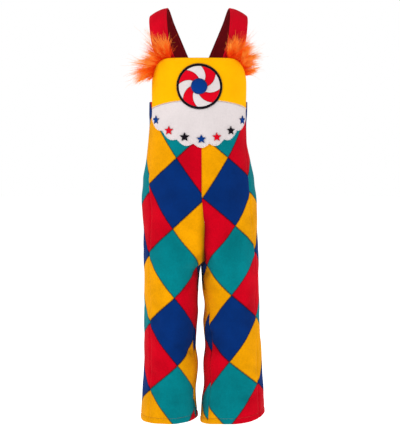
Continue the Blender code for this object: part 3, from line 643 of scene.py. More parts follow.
def cloth_piece(name, outer, inner, cloths, open_sides=(), print_grid=None, painted_shade_amount=None):
    """A wall of cloth between two matching grids of places. Two cloths give its face and its inner side."""
    rows, columns = outer.shape[:2]
    mesh = bpy.data.meshes.new(name)
    places = np.concatenate([outer.reshape(-1, 3), inner.reshape(-1, 3)])
    quads = wall_faces(rows, columns, open_sides)
    mesh.from_pydata(places.tolist(), [], quads.tolist())
    if print_grid is not None:
        uv = np.tile(print_grid.reshape(-1, 2), (2, 1))
        corners = np.empty(len(mesh.loops), int)
        mesh.loops.foreach_get("vertex_index", corners)
        layer = mesh.uv_layers.new(name="print")
        layer.data.foreach_set("uv", uv[corners].ravel())
        # the amount of painted shade at each point, which darkens the print
        deep = mesh.attributes.new("painted_shade_amount", "FLOAT", "POINT")
        deep.data.foreach_set("value", np.tile(painted_shade_amount.ravel(), 2))
    for cloth in cloths:
        mesh.materials.append(cloth)
    if len(cloths) > 1:
        cells = (rows - 1) * (columns - 1)
        index = np.zeros(len(quads), int)
        index[cells : 2 * cells] = 1
        mesh.polygons.foreach_set("material_index", index)
    whole = bmesh.new()
    whole.from_mesh(mesh)
    bmesh.ops.remove_doubles(whole, verts=whole.verts, dist=1e-6)
    bmesh.ops.recalc_face_normals(whole, faces=whole.faces)
    whole.to_mesh(mesh)
    whole.free()
    mesh.shade_smooth()
    return placed(name, mesh)


def linear(hex_colour, share=1.0):
    """An sRGB hex colour as linear RGBA, times a share."""
    parts = [int(hex_colour[i : i + 2], 16) / 255 for i in (1, 3, 5)]
    return (*(share * (c / 12.92 if c <= 0.04045 else ((c + 0.055) / 1.055) ** 2.4) for c in parts), 1.0)


def give(tree, node, inputs):
    """Sets a node's inputs, each to a value or to another node's output."""
    for name, value in inputs.items():
        if isinstance(value, bpy.types.NodeSocket):
            tree.links.new(value, node.inputs[name])
        else:
            node.inputs[name].default_value = value


def add_node(tree, kind, settings=None, inputs=None):
    """One node with its settings and inputs."""
    node = tree.nodes.new(kind)
    for name, value in (settings or {}).items():
        setattr(node, name, value)
    give(tree, node, inputs or {})
    return node


def calculated(tree, operation, *values):
    """The result of a Math node."""
    return add_node(tree, "ShaderNodeMath", {"operation": operation}, dict(enumerate(values))).outputs[0]


def noise(tree, place, size, detail=2.0):
    """Noise with grains of this size."""
    inputs = {"Vector": place, "Scale": 1 / size, "Detail": detail}
    return add_node(tree, "ShaderNodeTexNoise", inputs=inputs).outputs["Fac"]


def mapped(tree, value, low, high, start=0.0, end=1.0):
    """A value from start to end, moved to between low and high."""
    inputs = {"Value": value, "From Min": start, "From Max": end, "To Min": low, "To Max": high}
    return add_node(tree, "ShaderNodeMapRange", inputs=inputs).outputs["Result"]


def scaled(tree, colour, share):
    """A colour times a share."""
    inputs = {0: colour, "Scale": share}
    return add_node(tree, "ShaderNodeVectorMath", {"operation": "SCALE"}, inputs).outputs[0]


def either(tree, share, first, second):
    """The first colour where the share is 0 and the second where it is 1."""
    node = add_node(tree, "ShaderNodeMix", {"data_type": "RGBA"}, {"Factor": share})
    colours = [i for i, socket in enumerate(node.inputs) if socket.type == "RGBA"]
    give(tree, node, dict(zip(colours, (first, second))))
    return next(socket for socket in node.outputs if socket.type == "RGBA")


def bumped(tree, height, strength, distance):
    """The normals of a surface with this fine relief."""
    inputs = {"Height": height, "Strength": strength, "Distance": distance}
    return add_node(tree, "ShaderNodeBump", inputs=inputs).outputs["Normal"]


def attribute(tree, name):
    """A number that the mesh carries at each point."""
    return add_node(tree, "ShaderNodeAttribute", {"attribute_name": name}).outputs["Fac"]


def new_material(name):
    """A material with its shader and its object coordinates."""
    made = bpy.data.materials.new(name)
    made.use_nodes = True
    tree = made.node_tree
    shader = tree.nodes["Principled BSDF"]
    place = add_node(tree, "ShaderNodeTexCoord").outputs["Object"]
    return made, tree, shader, place


def add_nap(tree, shader, place, colour, grain, sheen, mottled):
    """Brushed fleece or felt: a dull, thick nap without a thread to be seen. It is mottled where the pile
    lies in different directions, and pale where it is seen from the side."""
    fine = noise(tree, place, grain)
    mottle = noise(tree, place, NAP_MOTTLE, 3.0)
    both = calculated(tree, "MULTIPLY_ADD", mottle, 0.6, noise(tree, place, NAP_PATCH))
    shade = mapped(tree, both, 1 - mottled, 1 + mottled, 0.55, 1.05)
    height = calculated(tree, "MULTIPLY_ADD", mottle, 1.4, fine)
    looks = {
        "Base Color": scaled(tree, colour, shade),
        "Normal": bumped(tree, height, 0.5, 0.5 * MM),
        "Roughness": 0.92,
        "Specular IOR Level": 0.03,
        "Sheen Weight": sheen,
        "Sheen Roughness": 0.45,
        "Sheen Tint": linear("#FFF4EC"),
    }
    give(tree, shader, looks)


def brushed_cloth(name, hex_colour, grain, sheen, mottled):
    """Plain brushed cloth in one colour."""
    made, tree, shader, place = new_material(name)
    colour = add_node(tree, "ShaderNodeRGB").outputs[0]
    colour.default_value = linear(hex_colour)
    add_nap(tree, shader, place, colour, grain, sheen, mottled)
    return made


def printed_fleece():
    """Fleece printed with diamonds. The print's own map counts in half diamonds, across and down; where two
    colours meet the inks run over each other in a thin darker line, and the nap makes the line uneven. In
    creases, round the crotch and in the cleft above it the print is darkened with painted shade."""
    made, tree, shader, place = new_material("printed_polyester_fleece")
    where = add_node(tree, "ShaderNodeUVMap", {"uv_map": "print"}).outputs[0]
    split = add_node(tree, "ShaderNodeSeparateXYZ", inputs={0: where}).outputs
    rough = mapped(tree, noise(tree, place, FRAYED), -FRAY, FRAY)
    odd, edge = [], []
    for operation in ("ADD", "SUBTRACT"):
        line = calculated(tree, operation, split["X"], split["Y"])
        halved = calculated(tree, "MULTIPLY_ADD", line, 0.5, rough)
        whole = calculated(tree, "ROUND", halved)
        odd.append(calculated(tree, "FLOORED_MODULO", whole, 2.0))
        edge.append(calculated(tree, "ABSOLUTE", calculated(tree, "SUBTRACT", halved, whole)))
    blue, red, yellow, teal = (linear(PRINT_COLOURS[name]) for name in ("blue", "red", "yellow", "teal"))
    rows = either(tree, odd[1], blue, red), either(tree, odd[1], yellow, teal)
    ink = either(tree, odd[0], *rows)
    nearest = calculated(tree, "MAXIMUM", *edge)
    lined = scaled(tree, ink, mapped(tree, nearest, 1.0, LINE_SHADE, LINE_FROM, LINE_TO))
    # painted shade: the print is darkened by the amount that each point of the mesh carries
    painted_dark = scaled(tree, lined, mapped(tree, attribute(tree, "painted_shade_amount"), 1.0, DEEPEST_PAINTED_SHADE))
    add_nap(tree, shader, place, painted_dark, NAP_GRAIN, 0.04, 0.13)
    return made


def fun_fur():
    """Long-pile acrylic fur: glossy separate hairs, deeper orange at the roots and pale at the tips, with a
    painted glow.
    """
    made, tree, shader, _ = new_material("orange_acrylic_fun_fur")
    toned = add_node(
        tree,
        "ShaderNodeMath",
        {"operation": "MULTIPLY_ADD", "use_clamp": True},
        {0: attribute(tree, "tone"), 1: 0.8, 2: attribute(tree, "along")},
    )
    ramp = add_node(tree, "ShaderNodeValToRGB", inputs={"Fac": toned.outputs[0]})
    stops = ((0.0, "#E02C02"), (0.35, "#F24404"), (0.75, "#FC6E0E"), (1.0, "#FFA240"))
    while len(ramp.color_ramp.elements) < len(stops):
        ramp.color_ramp.elements.new(0.5)
    for element, (position, colour) in zip(ramp.color_ramp.elements, stops):
        element.position = position
        element.color = linear(colour, FUR_LIT)
    looks = {
        "Base Color": ramp.outputs["Color"],
        "Emission Color": ramp.outputs["Color"],
        "Emission Strength": 0.2,  # painted glow in the hairs' own colour, standing in for light that comes through the thin hairs
        "Roughness": 0.55,
        "Specular IOR Level": 0.08,
    }
    give(tree, shader, looks)
    return made


def sewing_thread(name, hex_colour):
    """Spun polyester thread: slightly glossy, with a fine twist across it."""
    made, tree, shader, place = new_material(name)
    twist = bumped(tree, noise(tree, place, 0.3 * MM), 0.3, 0.1 * MM)
    give(tree, shader, {"Normal": twist, "Base Color": linear(hex_colour), "Roughness": 0.55})
    return made


PRINTED = printed_fleece()
LINING = brushed_cloth("fleece_reverse", "#B9A58F", NAP_GRAIN, 0.04, 0.05)
STRAP_FACE = brushed_cloth("red_fleece", "#C8041E", NAP_GRAIN, 0.04, 0.12)
# The strap's inner side: the same red fleece, painted darker as shade
STRAP_SHADED_SIDE = brushed_cloth("red_fleece_painted_shade", "#680E14", NAP_GRAIN, 0.02, 0.12)
BIB_CLOTHS = {
    name: brushed_cloth(f"{name}_felt", colour, FELT_GRAIN, 0.03, 0.06)
    for name, colour in CLOTH_COLOURS.items()
}
FUR = fun_fur()
FUR_BACKING = brushed_cloth("orange_knitted_backing", "#D8521A", FELT_GRAIN, 0.1, 0.05)
THREADS = {
    name: sewing_thread(f"{name}_polyester_thread", colour) for name, colour in THREAD_COLOURS.items()
}


def panel_turns(side, z, is_back):
    """Where a front or a back begins and ends round the body."""
    name = SIDE_NAME[side]
    side_turn = OUTLINE[name + "_seam"](z)
    half_gap = SEWN_GAP / 2
    above = np.degrees(np.arcsin(parted(z, is_back)))
    inseam = INSIDE[name + "_seam"](z)
    if is_back:
        first = turn_for(side, z, side_turn, half_gap)
        last = np.where(z > CROTCH_Z, 180 + above, turn_for(side, z, 360 + inseam, -half_gap))
        return first, last
    first = np.where(z > CROTCH_Z, -above, turn_for(side, z, inseam, half_gap))
    return first, turn_for(side, z, side_turn, -half_gap)


def panel_grid(side, is_back):
    """Heights and turns of one panel's mesh points, and each row's turn at the side seam."""
    rows = curves(("row",) + ROW_COLUMNS, [(i, *row) for i, row in enumerate(LEG_ROWS)])
    index = np.linspace(0, len(LEG_ROWS) - 1, 40 * len(LEG_ROWS))
    drop = -(rows["side"](index) + rows["middle"](index)) / 2
    length = drop[-1] - drop[0]
    places = np.interp(drop[0] + steps_along(length, CELL) * length, drop, index)
    side_z, middle_z = rows["side"](places), rows["middle"](places)
    side_turn = panel_turns(side, side_z, is_back)[0 if is_back else 1]
    middle_turn = panel_turns(side, middle_z, is_back)[1 if is_back else 0]
    half = len(places) // 2
    across = body_points(side, side_z[half], np.linspace(side_turn[half], middle_turn[half], 80))
    inwards = steps_along(run_along(across)[-1], CELL)[None, :]
    turn = side_turn[:, None] + (middle_turn - side_turn)[:, None] * inwards
    row_z = side_z[:, None] + (middle_z - side_z)[:, None] * inwards**ROW_SAG_POWER
    if is_back:
        rise = BACK_RISE * smoothstep((turn - BACK_RISE_FROM) / (BACK_RISE_TO - BACK_RISE_FROM))
    else:
        rise = -FRONT_DIP * (1 - smoothstep(turn / side_turn[:, None]))
    near_top = smoothstep((row_z - (WAIST_Z - TOP_FADE)) / TOP_FADE)
    near_hem = smoothstep((HEM_Z + HEM_FADE - row_z) / HEM_FADE)
    sideways = np.sin(np.radians(turn))
    lifted = np.where(sideways > 0, *HEM_LIFTS[side]) * sideways**2
    return row_z + rise * near_top + lifted * near_hem, turn


def arc_table(side):
    """Heights, turns and the distance round the body from the front at each of them."""
    heights = np.linspace(-0.84, -0.08, 110)
    turns = np.arange(-90.0, 312.0, 2.0)
    places = body_points(side, heights[:, None], turns[None, :])
    arcs = np.array([run_along(row[:, :2]) for row in places])
    return heights, turns, arcs, places[..., 0]


ARCS = {side: arc_table(side) for side in (LEFT, RIGHT)}


def arc_at(side, z, turn):
    """The distance round the body, read between the table's heights and turns."""
    heights, turns, arcs, _ = ARCS[side]
    row = np.clip((z - heights[0]) / (heights[1] - heights[0]), 0, len(heights) - 1.001)
    column = np.clip((turn - turns[0]) / (turns[1] - turns[0]), 0, len(turns) - 1.001)
    r, c = row.astype(int), column.astype(int)
    dr, dc = row - r, column - c
    above = arcs[r, c] * (1 - dc) + arcs[r, c + 1] * dc
    below = arcs[r + 1, c] * (1 - dc) + arcs[r + 1, c + 1] * dc
    return above * (1 - dr) + below * dr


def print_line_turn(side, z):
    """The turn at which the print's centre line runs, at each height."""
    heights, turns, _, xs = ARCS[side]
    front = (turns >= PRINT_LINE_TURNS[0]) & (turns <= PRINT_LINE_TURNS[1])
    found = [
        np.interp(side * PRINT[side]["x"](h), side * xs[i][front], turns[front])
        for i, h in enumerate(heights)
    ]
    return np.interp(z, heights, found)


def print_places(side, z, turn, is_back):
    """Where each place lies on the printed cloth, in half diamonds across and down."""
    if is_back:
        seam = OUTLINE[SIDE_NAME[side] + "_seam"](z)
        out = arc_at(side, z, turn) - arc_at(side, z, seam)
        seam_out = arc_at(side, z, seam) - arc_at(side, z, print_line_turn(side, z))
        rise = PRINT_RISE[side] * seam_out + PRINT_RISE_CURVE * seam_out**2 + BACK_PRINT_TILT * out
        across = side * (BACK_START(z) + out / DIAMOND_HALF_WIDTH)
    else:
        out = arc_at(side, z, turn) - arc_at(side, z, print_line_turn(side, z))
        rise = PRINT_RISE[side] * out + PRINT_RISE_CURVE * out**2
        across = side * out / DIAMOND_HALF_WIDTH
    line = z - rise
    knots = PRINT[side]["line"]
    beyond = line - np.clip(line, knots.places[0], knots.places[-1])
    return np.stack([across, knots(line) - beyond / DIAMOND_HALF_HEIGHT], axis=-1)


def ripples(z, turn):
    """Low uneven waves of loose cloth."""
    arc = np.radians(turn) * FOLD_ARC
    total = np.zeros_like(z)
    for down, across, start, height in RIPPLES:
        phase = 2 * math.pi * (z / (down * MM) + arc / (across * MM)) + start
        total += height * MM * np.sin(phase)
    return total


def puckered(run, first):
    """Uneven puckers along a seam, from 0 to 1."""
    short, long = PUCKERS
    wave = np.sin(run / short + first) * 0.5 + np.sin(run / long + 2.3 * first) * 0.5
    return 0.5 + 0.5 * wave


def leg_panel(name, side, is_back):
    """A printed front or back with its creases, sunken seams and turned-up hem."""
    z, turn = panel_grid(side, is_back)
    body = body_points(side, z, turn)
    normals = body_normals(side, z, turn)
    from_side, from_middle, from_top, from_hem = edge_distances(body)
    uncovered = np.ones_like(z) if is_back else smoothstep((COVERED_TO - z) / COVER_FADE)
    creased = fold_depth(side, z, turn, CREASES) * CREASE_DEPTH
    near_fork = smoothstep((z - CROTCH_Z) / CALM_ABOVE + 1)
    calm = 1 - near_fork * (1 - smoothstep(from_middle / CALM_BESIDE))
    sunk = creased * uncovered + np.maximum(ripples(z, turn), RIPPLE_LOWEST) * uncovered * calm
    touching = np.where(z > CROTCH_Z, 1 - smoothstep(parted(z, is_back) * 4), 1.0)
    for distance, start, kept in ((from_side, SIDE_START, 1.0), (from_middle, MIDDLE_START, touching)):
        valley = bell(distance, VALLEY_WIDTH) * VALLEY_DEPTH
        allowance = bell(distance - ALLOWANCE_IN, ALLOWANCE_WIDTH) * ALLOWANCE_RISE
        sunk += (valley - allowance * puckered(from_top, start + side)) * uncovered * kept
    depth = GROOVE_LEAST + GROOVE_MORE * puckered(from_side, side)
    groove = bell(from_hem - HEM_UP, GROOVE_WIDTH) * depth * MM
    fullness = smoothstep(from_hem / HEM_TURN) * smoothstep((HEM_UP - from_hem) / HEM_TURN)
    sunk += groove - fullness * (FULL_LEAST + FULL_MORE * puckered(from_side, 2.0 * side)) * MM
    sunk += rolled(from_hem, *HEM_ROLL) + rolled(from_top, *TOP_ROLL)
    # Painted shade: the print is darkened in folds, creases and the middle seam's valley, round the crotch
    # and in the cleft above it
    painted_dark = 1 - smoothstep(np.hypot(z - CROTCH_Z, CROTCH_NARROW * from_middle) / CROTCH_SHADE)
    cleft = bell(from_middle, CLEFT_WIDTH) * smoothstep(fork_down(z) * 2)
    cleft = cleft * (z > CROTCH_Z - CROTCH_SHADE)
    folded = fold_depth(side, z, turn, LARGE_FOLDS) / FOLD_FULL
    fold_and_crease_shade = folded + creased / CREASE_FULL + VALLEY_PAINTED_SHADE * valley / MM  # the valley of the middle seam
    painted_shade_amount = CREASE_PAINTED_SHADE * fold_and_crease_shade * uncovered + CROTCH_PAINTED_SHADE * painted_dark + CLEFT_PAINTED_SHADE * cleft
    outer = body - normals * sunk[..., None]
    inner = body - normals * np.maximum(FLEECE_WALL, sunk + THINNEST)[..., None]
    places = print_places(side, z, turn, is_back)
    piece = cloth_piece(
        name,
        outer,
        inner,
        [PRINTED, LINING],
        print_grid=places,
        painted_shade_amount=np.clip(painted_shade_amount, 0.0, 1.0),
    )
    hem_row = int(np.argmin(abs(from_hem[:, outer.shape[1] // 2] - HEM_UP)))
    return piece, outer[hem_row] + normals[hem_row] * HEM_STITCH_LIFT * MM


def bib_top(across):
    """Height of the bib's top edge: level in the middle, rounded off at the corners."""
    out = np.clip((abs(across) - BIB_FLAT) / (BIB_HALF - BIB_FLAT), 0.0, 1.0)
    left = np.maximum(1 - out**BIB_CORNER_POWER, 0.0) ** (1 / BIB_CORNER_POWER)
    return BIB_SIDE_TOP_Z + (BIB_TOP_Z - BIB_SIDE_TOP_Z) * left


def yoke_top(across):
    return YOKE_TOP_Z - YOKE_TOP_FALL * (across / BIB_HALF) ** 2


def scallop_line(across):
    return YOKE_LOW_Z + YOKE_LOW_RISE * (across / BIB_HALF) ** 2


def yoke_low(across):
    """The yoke's lower edge, with a round scallop between each two points."""
    phase = (across + BIB_HALF) / (2 * BIB_HALF) * SCALLOPS
    return scallop_line(across) - SCALLOP_DROP * abs(np.sin(math.pi * phase))


def flat_to_bib(name, across, z, cloth, wall, base, roll, inside=None, open_sides=(), swell=0.0):
    """A piece of cloth on the bib, cut flat as a grid of places across and down, with soft edges."""
    if inside is None:
        inside = np.minimum.reduce(edge_distances(on_body(across, z, base + wall)))
    outer = on_body(across, z, base + wall - rolled(inside, roll, wall * EDGE_DROP) + swell)
    return cloth_piece(name, outer, on_body(across, z, base), [cloth], open_sides)


def bib_part(name, upper, lower, gap_above, cloth):
    """A stretch of the bib between an upper and a lower edge."""
    columns = np.linspace(-BIB_HALF, BIB_HALF, SCALLOPS * SCALLOP_CELLS + 1)
    near = np.array((0.0, 0.3, 0.8, 1.5)) * MM
    columns = np.unique(np.concatenate([columns, -BIB_HALF + near, BIB_HALF - near]))
    top = upper(columns) - gap_above
    depth = top - lower(columns)
    shares = steps_along(float(depth.mean()), FINE_CELL)
    across = np.repeat(columns[None, :], len(shares), axis=0)
    z = top[None, :] - depth[None, :] * shares[:, None]
    soft = BIB_WAVE * np.sin(across / BIB_WAVE_WIDE + 1.0) * np.sin(z / BIB_WAVE_HIGH)
    return flat_to_bib(name, across, z, cloth, BIB_WALL, LAY_GAP, BIB_ROLL, swell=soft)


BIB_FACE = LAY_GAP + BIB_WALL + 0.1 * MM  # where thread lies on the bib
VANE_TURNS = tuple(2 * math.pi * i / VANE_COUNT for i in range(VANE_COUNT))


def star_places():
    """Where each star is on the yoke, one in each scallop, and its cloth."""
    found = []
    for i in range(SCALLOPS):
        across = (i - (SCALLOPS - 1) / 2) * (2 * BIB_HALF / SCALLOPS)
        z = float(scallop_line(across)) - SCALLOP_DROP + STAR_UP
        found.append((across, z, STAR_CLOTHS[i % len(STAR_CLOTHS)]))
    return found


STARS = star_places()


def polar(radius, angle, centre_across=0.0, centre_z=ROSETTE_Z):
    return centre_across + radius * np.cos(angle), centre_z + radius * np.sin(angle)


def vane_edges(first, share):
    """A vane's two long edges, at this share of the way out."""
    root = DOME_RADIUS + SEAM_GAP
    radius = root + (VANE_OUT - root) * share
    turned = first + VANE_SWEEP * share
    gap = SEAM_GAP / 2 / radius
    return radius, turned + gap, turned + 2 * math.pi / VANE_COUNT - gap


def vane(name, first, cloth):
    """One curved vane of the rosette, swept round as it goes out."""
    share = steps_along(VANE_OUT - DOME_RADIUS, FINE_CELL, VANE_EDGE)[:, None]
    part = steps_along(VANE_WIDTH, FINE_CELL, VANE_EDGE)[None, :]
    radius, low, high = vane_edges(first, share)
    across, z = polar(radius, low + (high - low) * part)
    crown = VANE_CROWN * np.sin(math.pi * part) * np.sin(math.pi * share)
    return flat_to_bib(name, across, z, cloth, MOTIF_WALL, MOTIF_BASE, VANE_ROLL, swell=crown)


def rosette_ring(cloth):
    """The flat ring round the vanes."""
    rings, spokes = RING_GRID
    radii = np.linspace(VANE_OUT + SEAM_GAP, RING_OUT, rings)
    radii, angles = np.meshgrid(radii, np.linspace(0, 2 * math.pi, spokes), indexing="ij")
    across, z = polar(radii, angles)
    inside = np.minimum(radii - VANE_OUT - SEAM_GAP, RING_OUT - radii)
    ends = ("left", "right")
    return flat_to_bib(
        "rosette_ring_felt", across, z, cloth, MOTIF_WALL, MOTIF_BASE, RING_ROLL, inside, ends
    )


def rosette_dome(cloth):
    """The padded dome at the rosette's centre, gathered a little round its foot."""
    rise = np.linspace(math.pi / 2, 0, DOME_GRID[0])[:, None]
    angles = np.linspace(0, 2 * math.pi, DOME_GRID[1])[None, :]
    gathers = GATHER_DEPTH * np.sin(GATHERS * angles) * np.cos(rise) ** 6 * np.sin(2 * rise)
    across, z = polar(DOME_RADIUS * np.cos(rise), angles)
    outer = on_body(across, z, MOTIF_BASE + MOTIF_WALL / 2 + DOME_HEIGHT * np.sin(rise) + gathers)
    inner = on_body(across, z, MOTIF_BASE)
    return cloth_piece("rosette_dome_felt", outer, inner, [cloth], ("left", "right", "top"))


def star_outline(across, z, per_edge):
    """Places along a five-pointed star's edge, back to the first."""
    corners = []
    for i in range(11):
        radius = STAR_RADIUS * (STAR_WAIST if i % 2 else 1.0)
        corners.append(polar(radius, math.pi / 2 + math.pi / 5 * i, across, z))
    corners = np.array(corners)
    share = np.arange(per_edge)[None, :, None] / per_edge
    edge = corners[:-1, None, :] * (1 - share) + corners[1:, None, :] * share
    return np.concatenate([edge.reshape(-1, 2), corners[:1]])


def star(name, across, z, cloth):
    """A five-pointed felt star, upright on the yoke."""
    edge = star_outline(across, z, 7)
    shares = np.array((0.0, 0.2, 0.4, 0.58, 0.72, 0.83, 0.91, 0.96, 1.0))[:, None, None]
    centre = np.array((across, z))
    across, z = np.moveaxis(centre + (edge - centre)[None] * shares, -1, 0)
    inside = (1 - shares[..., 0]) * STAR_RADIUS * STAR_WAIST * 0.8 + 0 * z
    ends = ("left", "right", "top")
    return flat_to_bib(name, across, z, cloth, MOTIF_WALL, MOTIF_BASE, STAR_ROLL, inside, ends)


def strap_rows(side, parts):
    """Rows of places across a strap's outer face, from its end in the bib to its end in the back."""
    rows = []
    for values in STRAP_BIB_END:
        row = dict(zip(STRAP_BIB_COLUMNS, values))
        across = side * (row["inner"] * MM + STRAP_WIDTH * parts)
        rows.append(on_body(across, row["z"] * MM, row["lift"] * MM))
    for values in STRAP:
        row = dict(zip(STRAP_COLUMNS, (value * MM for value in values)))
        inner = np.array((side * row["ix"], row["iy"], row["iz"]))
        outer = np.array((side * row["ox"], row["oy"], row["oz"]))
        up = unit(np.array((0.0, (inner[1] + outer[1]) / 2, (inner[2] + outer[2]) / 2 + STRAP_MIDDLE)))
        bow = row["bow"] * 4 * parts * (1 - parts)
        rows.append(inner + (outer - inner) * parts[:, None] + up * bow[:, None])
    for values in STRAP_BACK_END:
        row = dict(zip(STRAP_BACK_COLUMNS, (value * MM for value in values)))
        x = side * (row["inner"] + STRAP_WIDTH * parts)
        half, near_middle, _ = half_section(side, np.array(row["z"]), True)
        turn = 180 - np.degrees(np.arcsin(side * (x - near_middle) / half))
        z = np.full_like(turn, row["z"])
        inside = -(FLEECE_WALL + LAY_GAP)
        rows.append(body_points(side, z, turn) + body_normals(side, z, turn) * inside)
    return np.array(rows)


def smooth_rows(rows, steps):
    """The same rows with more between them, along a smooth curve through each column."""
    ends = np.concatenate([rows[:1], rows, rows[-1:]])
    made = []
    for i in range(1, len(ends) - 2):
        before, start, end, after = ends[i - 1 : i + 3]
        for t in np.arange(steps) / steps:
            bend = (before * 2 - start * 5 + end * 4 - after) * t * t
            twist = (start * 3 - before - end * 3 + after) * t * t * t
            made.append((start * 2 + (end - before) * t + bend + twist) / 2)
    return np.array(made + [rows[-1]])


def strap(name, side):
    """A doubled strap with rolled edges and a row of stitches along each of them."""
    parts = steps_along(STRAP_WIDTH, FINE_CELL, (0.0, 0.3, 0.8, 1.5, 2.4))
    outer = smooth_rows(strap_rows(side, parts), 12)
    normals = unit(np.cross(np.gradient(outer, axis=1), np.gradient(outer, axis=0))) * side
    left, right, first, _ = edge_distances(outer)
    nearest = np.minimum(left, right)
    groove = bell(nearest - EDGE_STITCH_IN, STRAP_GROOVE_WIDTH) * STRAP_GROOVE * MM
    sunk = rolled(nearest, *STRAP_ROLL) + groove
    waves = STRAP_WAVE * np.sin(first / STRAP_WAVE_LONG + 1.0) * np.cos(left / STRAP_WAVE_WIDE)
    face = outer - normals * (sunk + waves + STRAP_WAVE)[..., None]
    reverse = outer - normals * (STRAP_WALL - sunk * REVERSE_SUNK)[..., None]
    piece = cloth_piece(name, face, reverse, [STRAP_FACE, STRAP_SHADED_SIDE])
    lines = []
    for distance in (EDGE_STITCH_IN, STRAP_WIDTH - EDGE_STITCH_IN):
        column = int(np.argmin(abs(parts * STRAP_WIDTH - distance)))
        for grid, out in ((face, STRAP_STITCH_LIFT), (reverse, -STRAP_STITCH_LIFT)):
            lines.append(grid[:, column] + normals[:, column] * out * MM)
    return piece, lines


def running_stitches(path):
    """Both ends of each stitch of a plain seam that follows a path."""
    run = run_along(path)
    starts = np.arange(STITCH_STEP / 2, run[-1] - STITCH_LENGTH, STITCH_STEP)
    return [
        np.stack([np.interp(starts + more, run, path[:, k]) for k in range(3)], axis=-1)
        for more in (0.0, STITCH_LENGTH)
    ]


def satin_stitches(across, z, lift, length=SATIN_LENGTH):
    """Both ends of each stitch of a close zigzag over a cut edge, which is given flat on the bib."""
    run = run_along(np.stack([across, z], axis=-1))
    places = np.arange(SATIN_STEP / 2, run[-1], SATIN_STEP)
    at = np.stack([np.interp(places, run, values) for values in (across, z)], axis=-1)
    way = unit(np.gradient(at, axis=0))
    slant = np.where(np.arange(len(places)) % 2, SATIN_SLANT, -SATIN_SLANT)[:, None]
    over = unit(np.stack([-way[:, 1], way[:, 0]], axis=-1) + way * slant) * length / 2
    return [on_body(*(at + end * over).T, lift) for end in (-1, 1)]


def new_tree(name, inputs, output):
    """An empty tree with named inputs, each with its kind, and one output of geometry."""
    tree = bpy.data.node_groups.new(name, "GeometryNodeTree")
    for label, kind in inputs.items():
        tree.interface.new_socket(name=label, in_out="INPUT", socket_type=f"NodeSocket{kind}")
    tree.interface.new_socket(name=output, in_out="OUTPUT", socket_type="NodeSocketGeometry")
    return tree, add_node(tree, "NodeGroupInput").outputs


def finish_tree(tree, geometry, material, output):
    """Makes a tree's geometry real, gives it its material and hands it out."""
    real = add_node(tree, "GeometryNodeRealizeInstances", inputs={"Geometry": geometry})
    inputs = {"Geometry": real.outputs["Geometry"], "Material": material}
    coloured = add_node(tree, "GeometryNodeSetMaterial", inputs=inputs)
    add_node(tree, "NodeGroupOutput", inputs={output: coloured.outputs["Geometry"]})
    return tree


def stitch_tree():
    """A tree that lays a short spindle of thread along each stitch."""
    inputs = {"Stitches": "Geometry", "Thread": "Float", "Colour": "Material"}
    tree, given = new_tree("stitches", inputs, "Sewing")
    way = add_node(
        tree, "GeometryNodeInputNamedAttribute", {"data_type": "FLOAT_VECTOR"}, {"Name": "way"}
    ).outputs["Attribute"]
    turned = add_node(tree, "FunctionNodeAlignRotationToVector", {"axis": "X"}, {"Vector": way})
    length = add_node(tree, "ShaderNodeVectorMath", {"operation": "LENGTH"}, {0: way})
    size = {"X": length.outputs["Value"], "Y": given["Thread"], "Z": given["Thread"]}
    spindle = add_node(
        tree, "GeometryNodeMeshUVSphere", inputs={"Segments": 6, "Rings": 5, "Radius": 0.5}
    )
    upright = add_node(
        tree,
        "GeometryNodeTransform",
        inputs={"Geometry": spindle.outputs["Mesh"], "Rotation": (0.0, math.pi / 2, 0.0)},
    )
    laid = add_node(
        tree,
        "GeometryNodeInstanceOnPoints",
        inputs={
            "Points": given["Stitches"],
            "Instance": upright.outputs["Geometry"],
            "Rotation": turned.outputs["Rotation"],
            "Scale": add_node(tree, "ShaderNodeCombineXYZ", inputs=size).outputs["Vector"],
        },
    )
    return finish_tree(tree, laid.outputs["Instances"], given["Colour"], "Sewing")


def hair_tree():
    """A tree that gives each hair's path a three-sided body, thick at the root and thin at the tip."""
    inputs = {"Paths": "Geometry", "Thickness": "Float", "Fur": "Material"}
    tree, given = new_tree("hairs", inputs, "Hairs")
    curve = add_node(tree, "GeometryNodeMeshToCurve", inputs={"Mesh": given["Paths"]})
    along = add_node(tree, "GeometryNodeInputNamedAttribute", {"data_type": "FLOAT"}, {"Name": "along"})
    thin = mapped(tree, along.outputs["Attribute"], 1.0, 0.25)
    section = add_node(tree, "GeometryNodeCurvePrimitiveCircle", inputs={"Resolution": 3, "Radius": 0.5})
    body = add_node(
        tree,
        "GeometryNodeCurveToMesh",
        inputs={
            "Curve": curve.outputs["Curve"],
            "Profile Curve": section.outputs["Curve"],
            "Scale": calculated(tree, "MULTIPLY", thin, given["Thickness"]),
            "Fill Caps": True,
        },
    )
    return finish_tree(tree, body.outputs["Mesh"], given["Fur"], "Hairs")


def grown_piece(name, mesh, tree, values):
    """The mesh that a tree makes of another mesh, as a plain piece."""
    holder = placed(name + "_paths", mesh)
    modifier = holder.modifiers.new("made", "NODES")
    modifier.node_group = tree
    for item in tree.interface.items_tree:
        if item.in_out == "INPUT" and item.name in values:
            modifier[item.identifier] = values[item.name]
    bpy.context.view_layer.update()
    made = bpy.data.meshes.new_from_object(holder.evaluated_get(bpy.context.evaluated_depsgraph_get()))
    bpy.data.objects.remove(holder, do_unlink=True)
    made.name = name
    made.shade_smooth()
    return placed(name, made)


STITCH_TREE = stitch_tree()
HAIR_TREE = hair_tree()


def finish(piece, node=None):
    """Lets a piece ride on the one body, and stand for its node if it has one."""
    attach(piece, "root")
    if node:
        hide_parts(node)


def finish_cloth(piece, node):
    finish(piece, node)


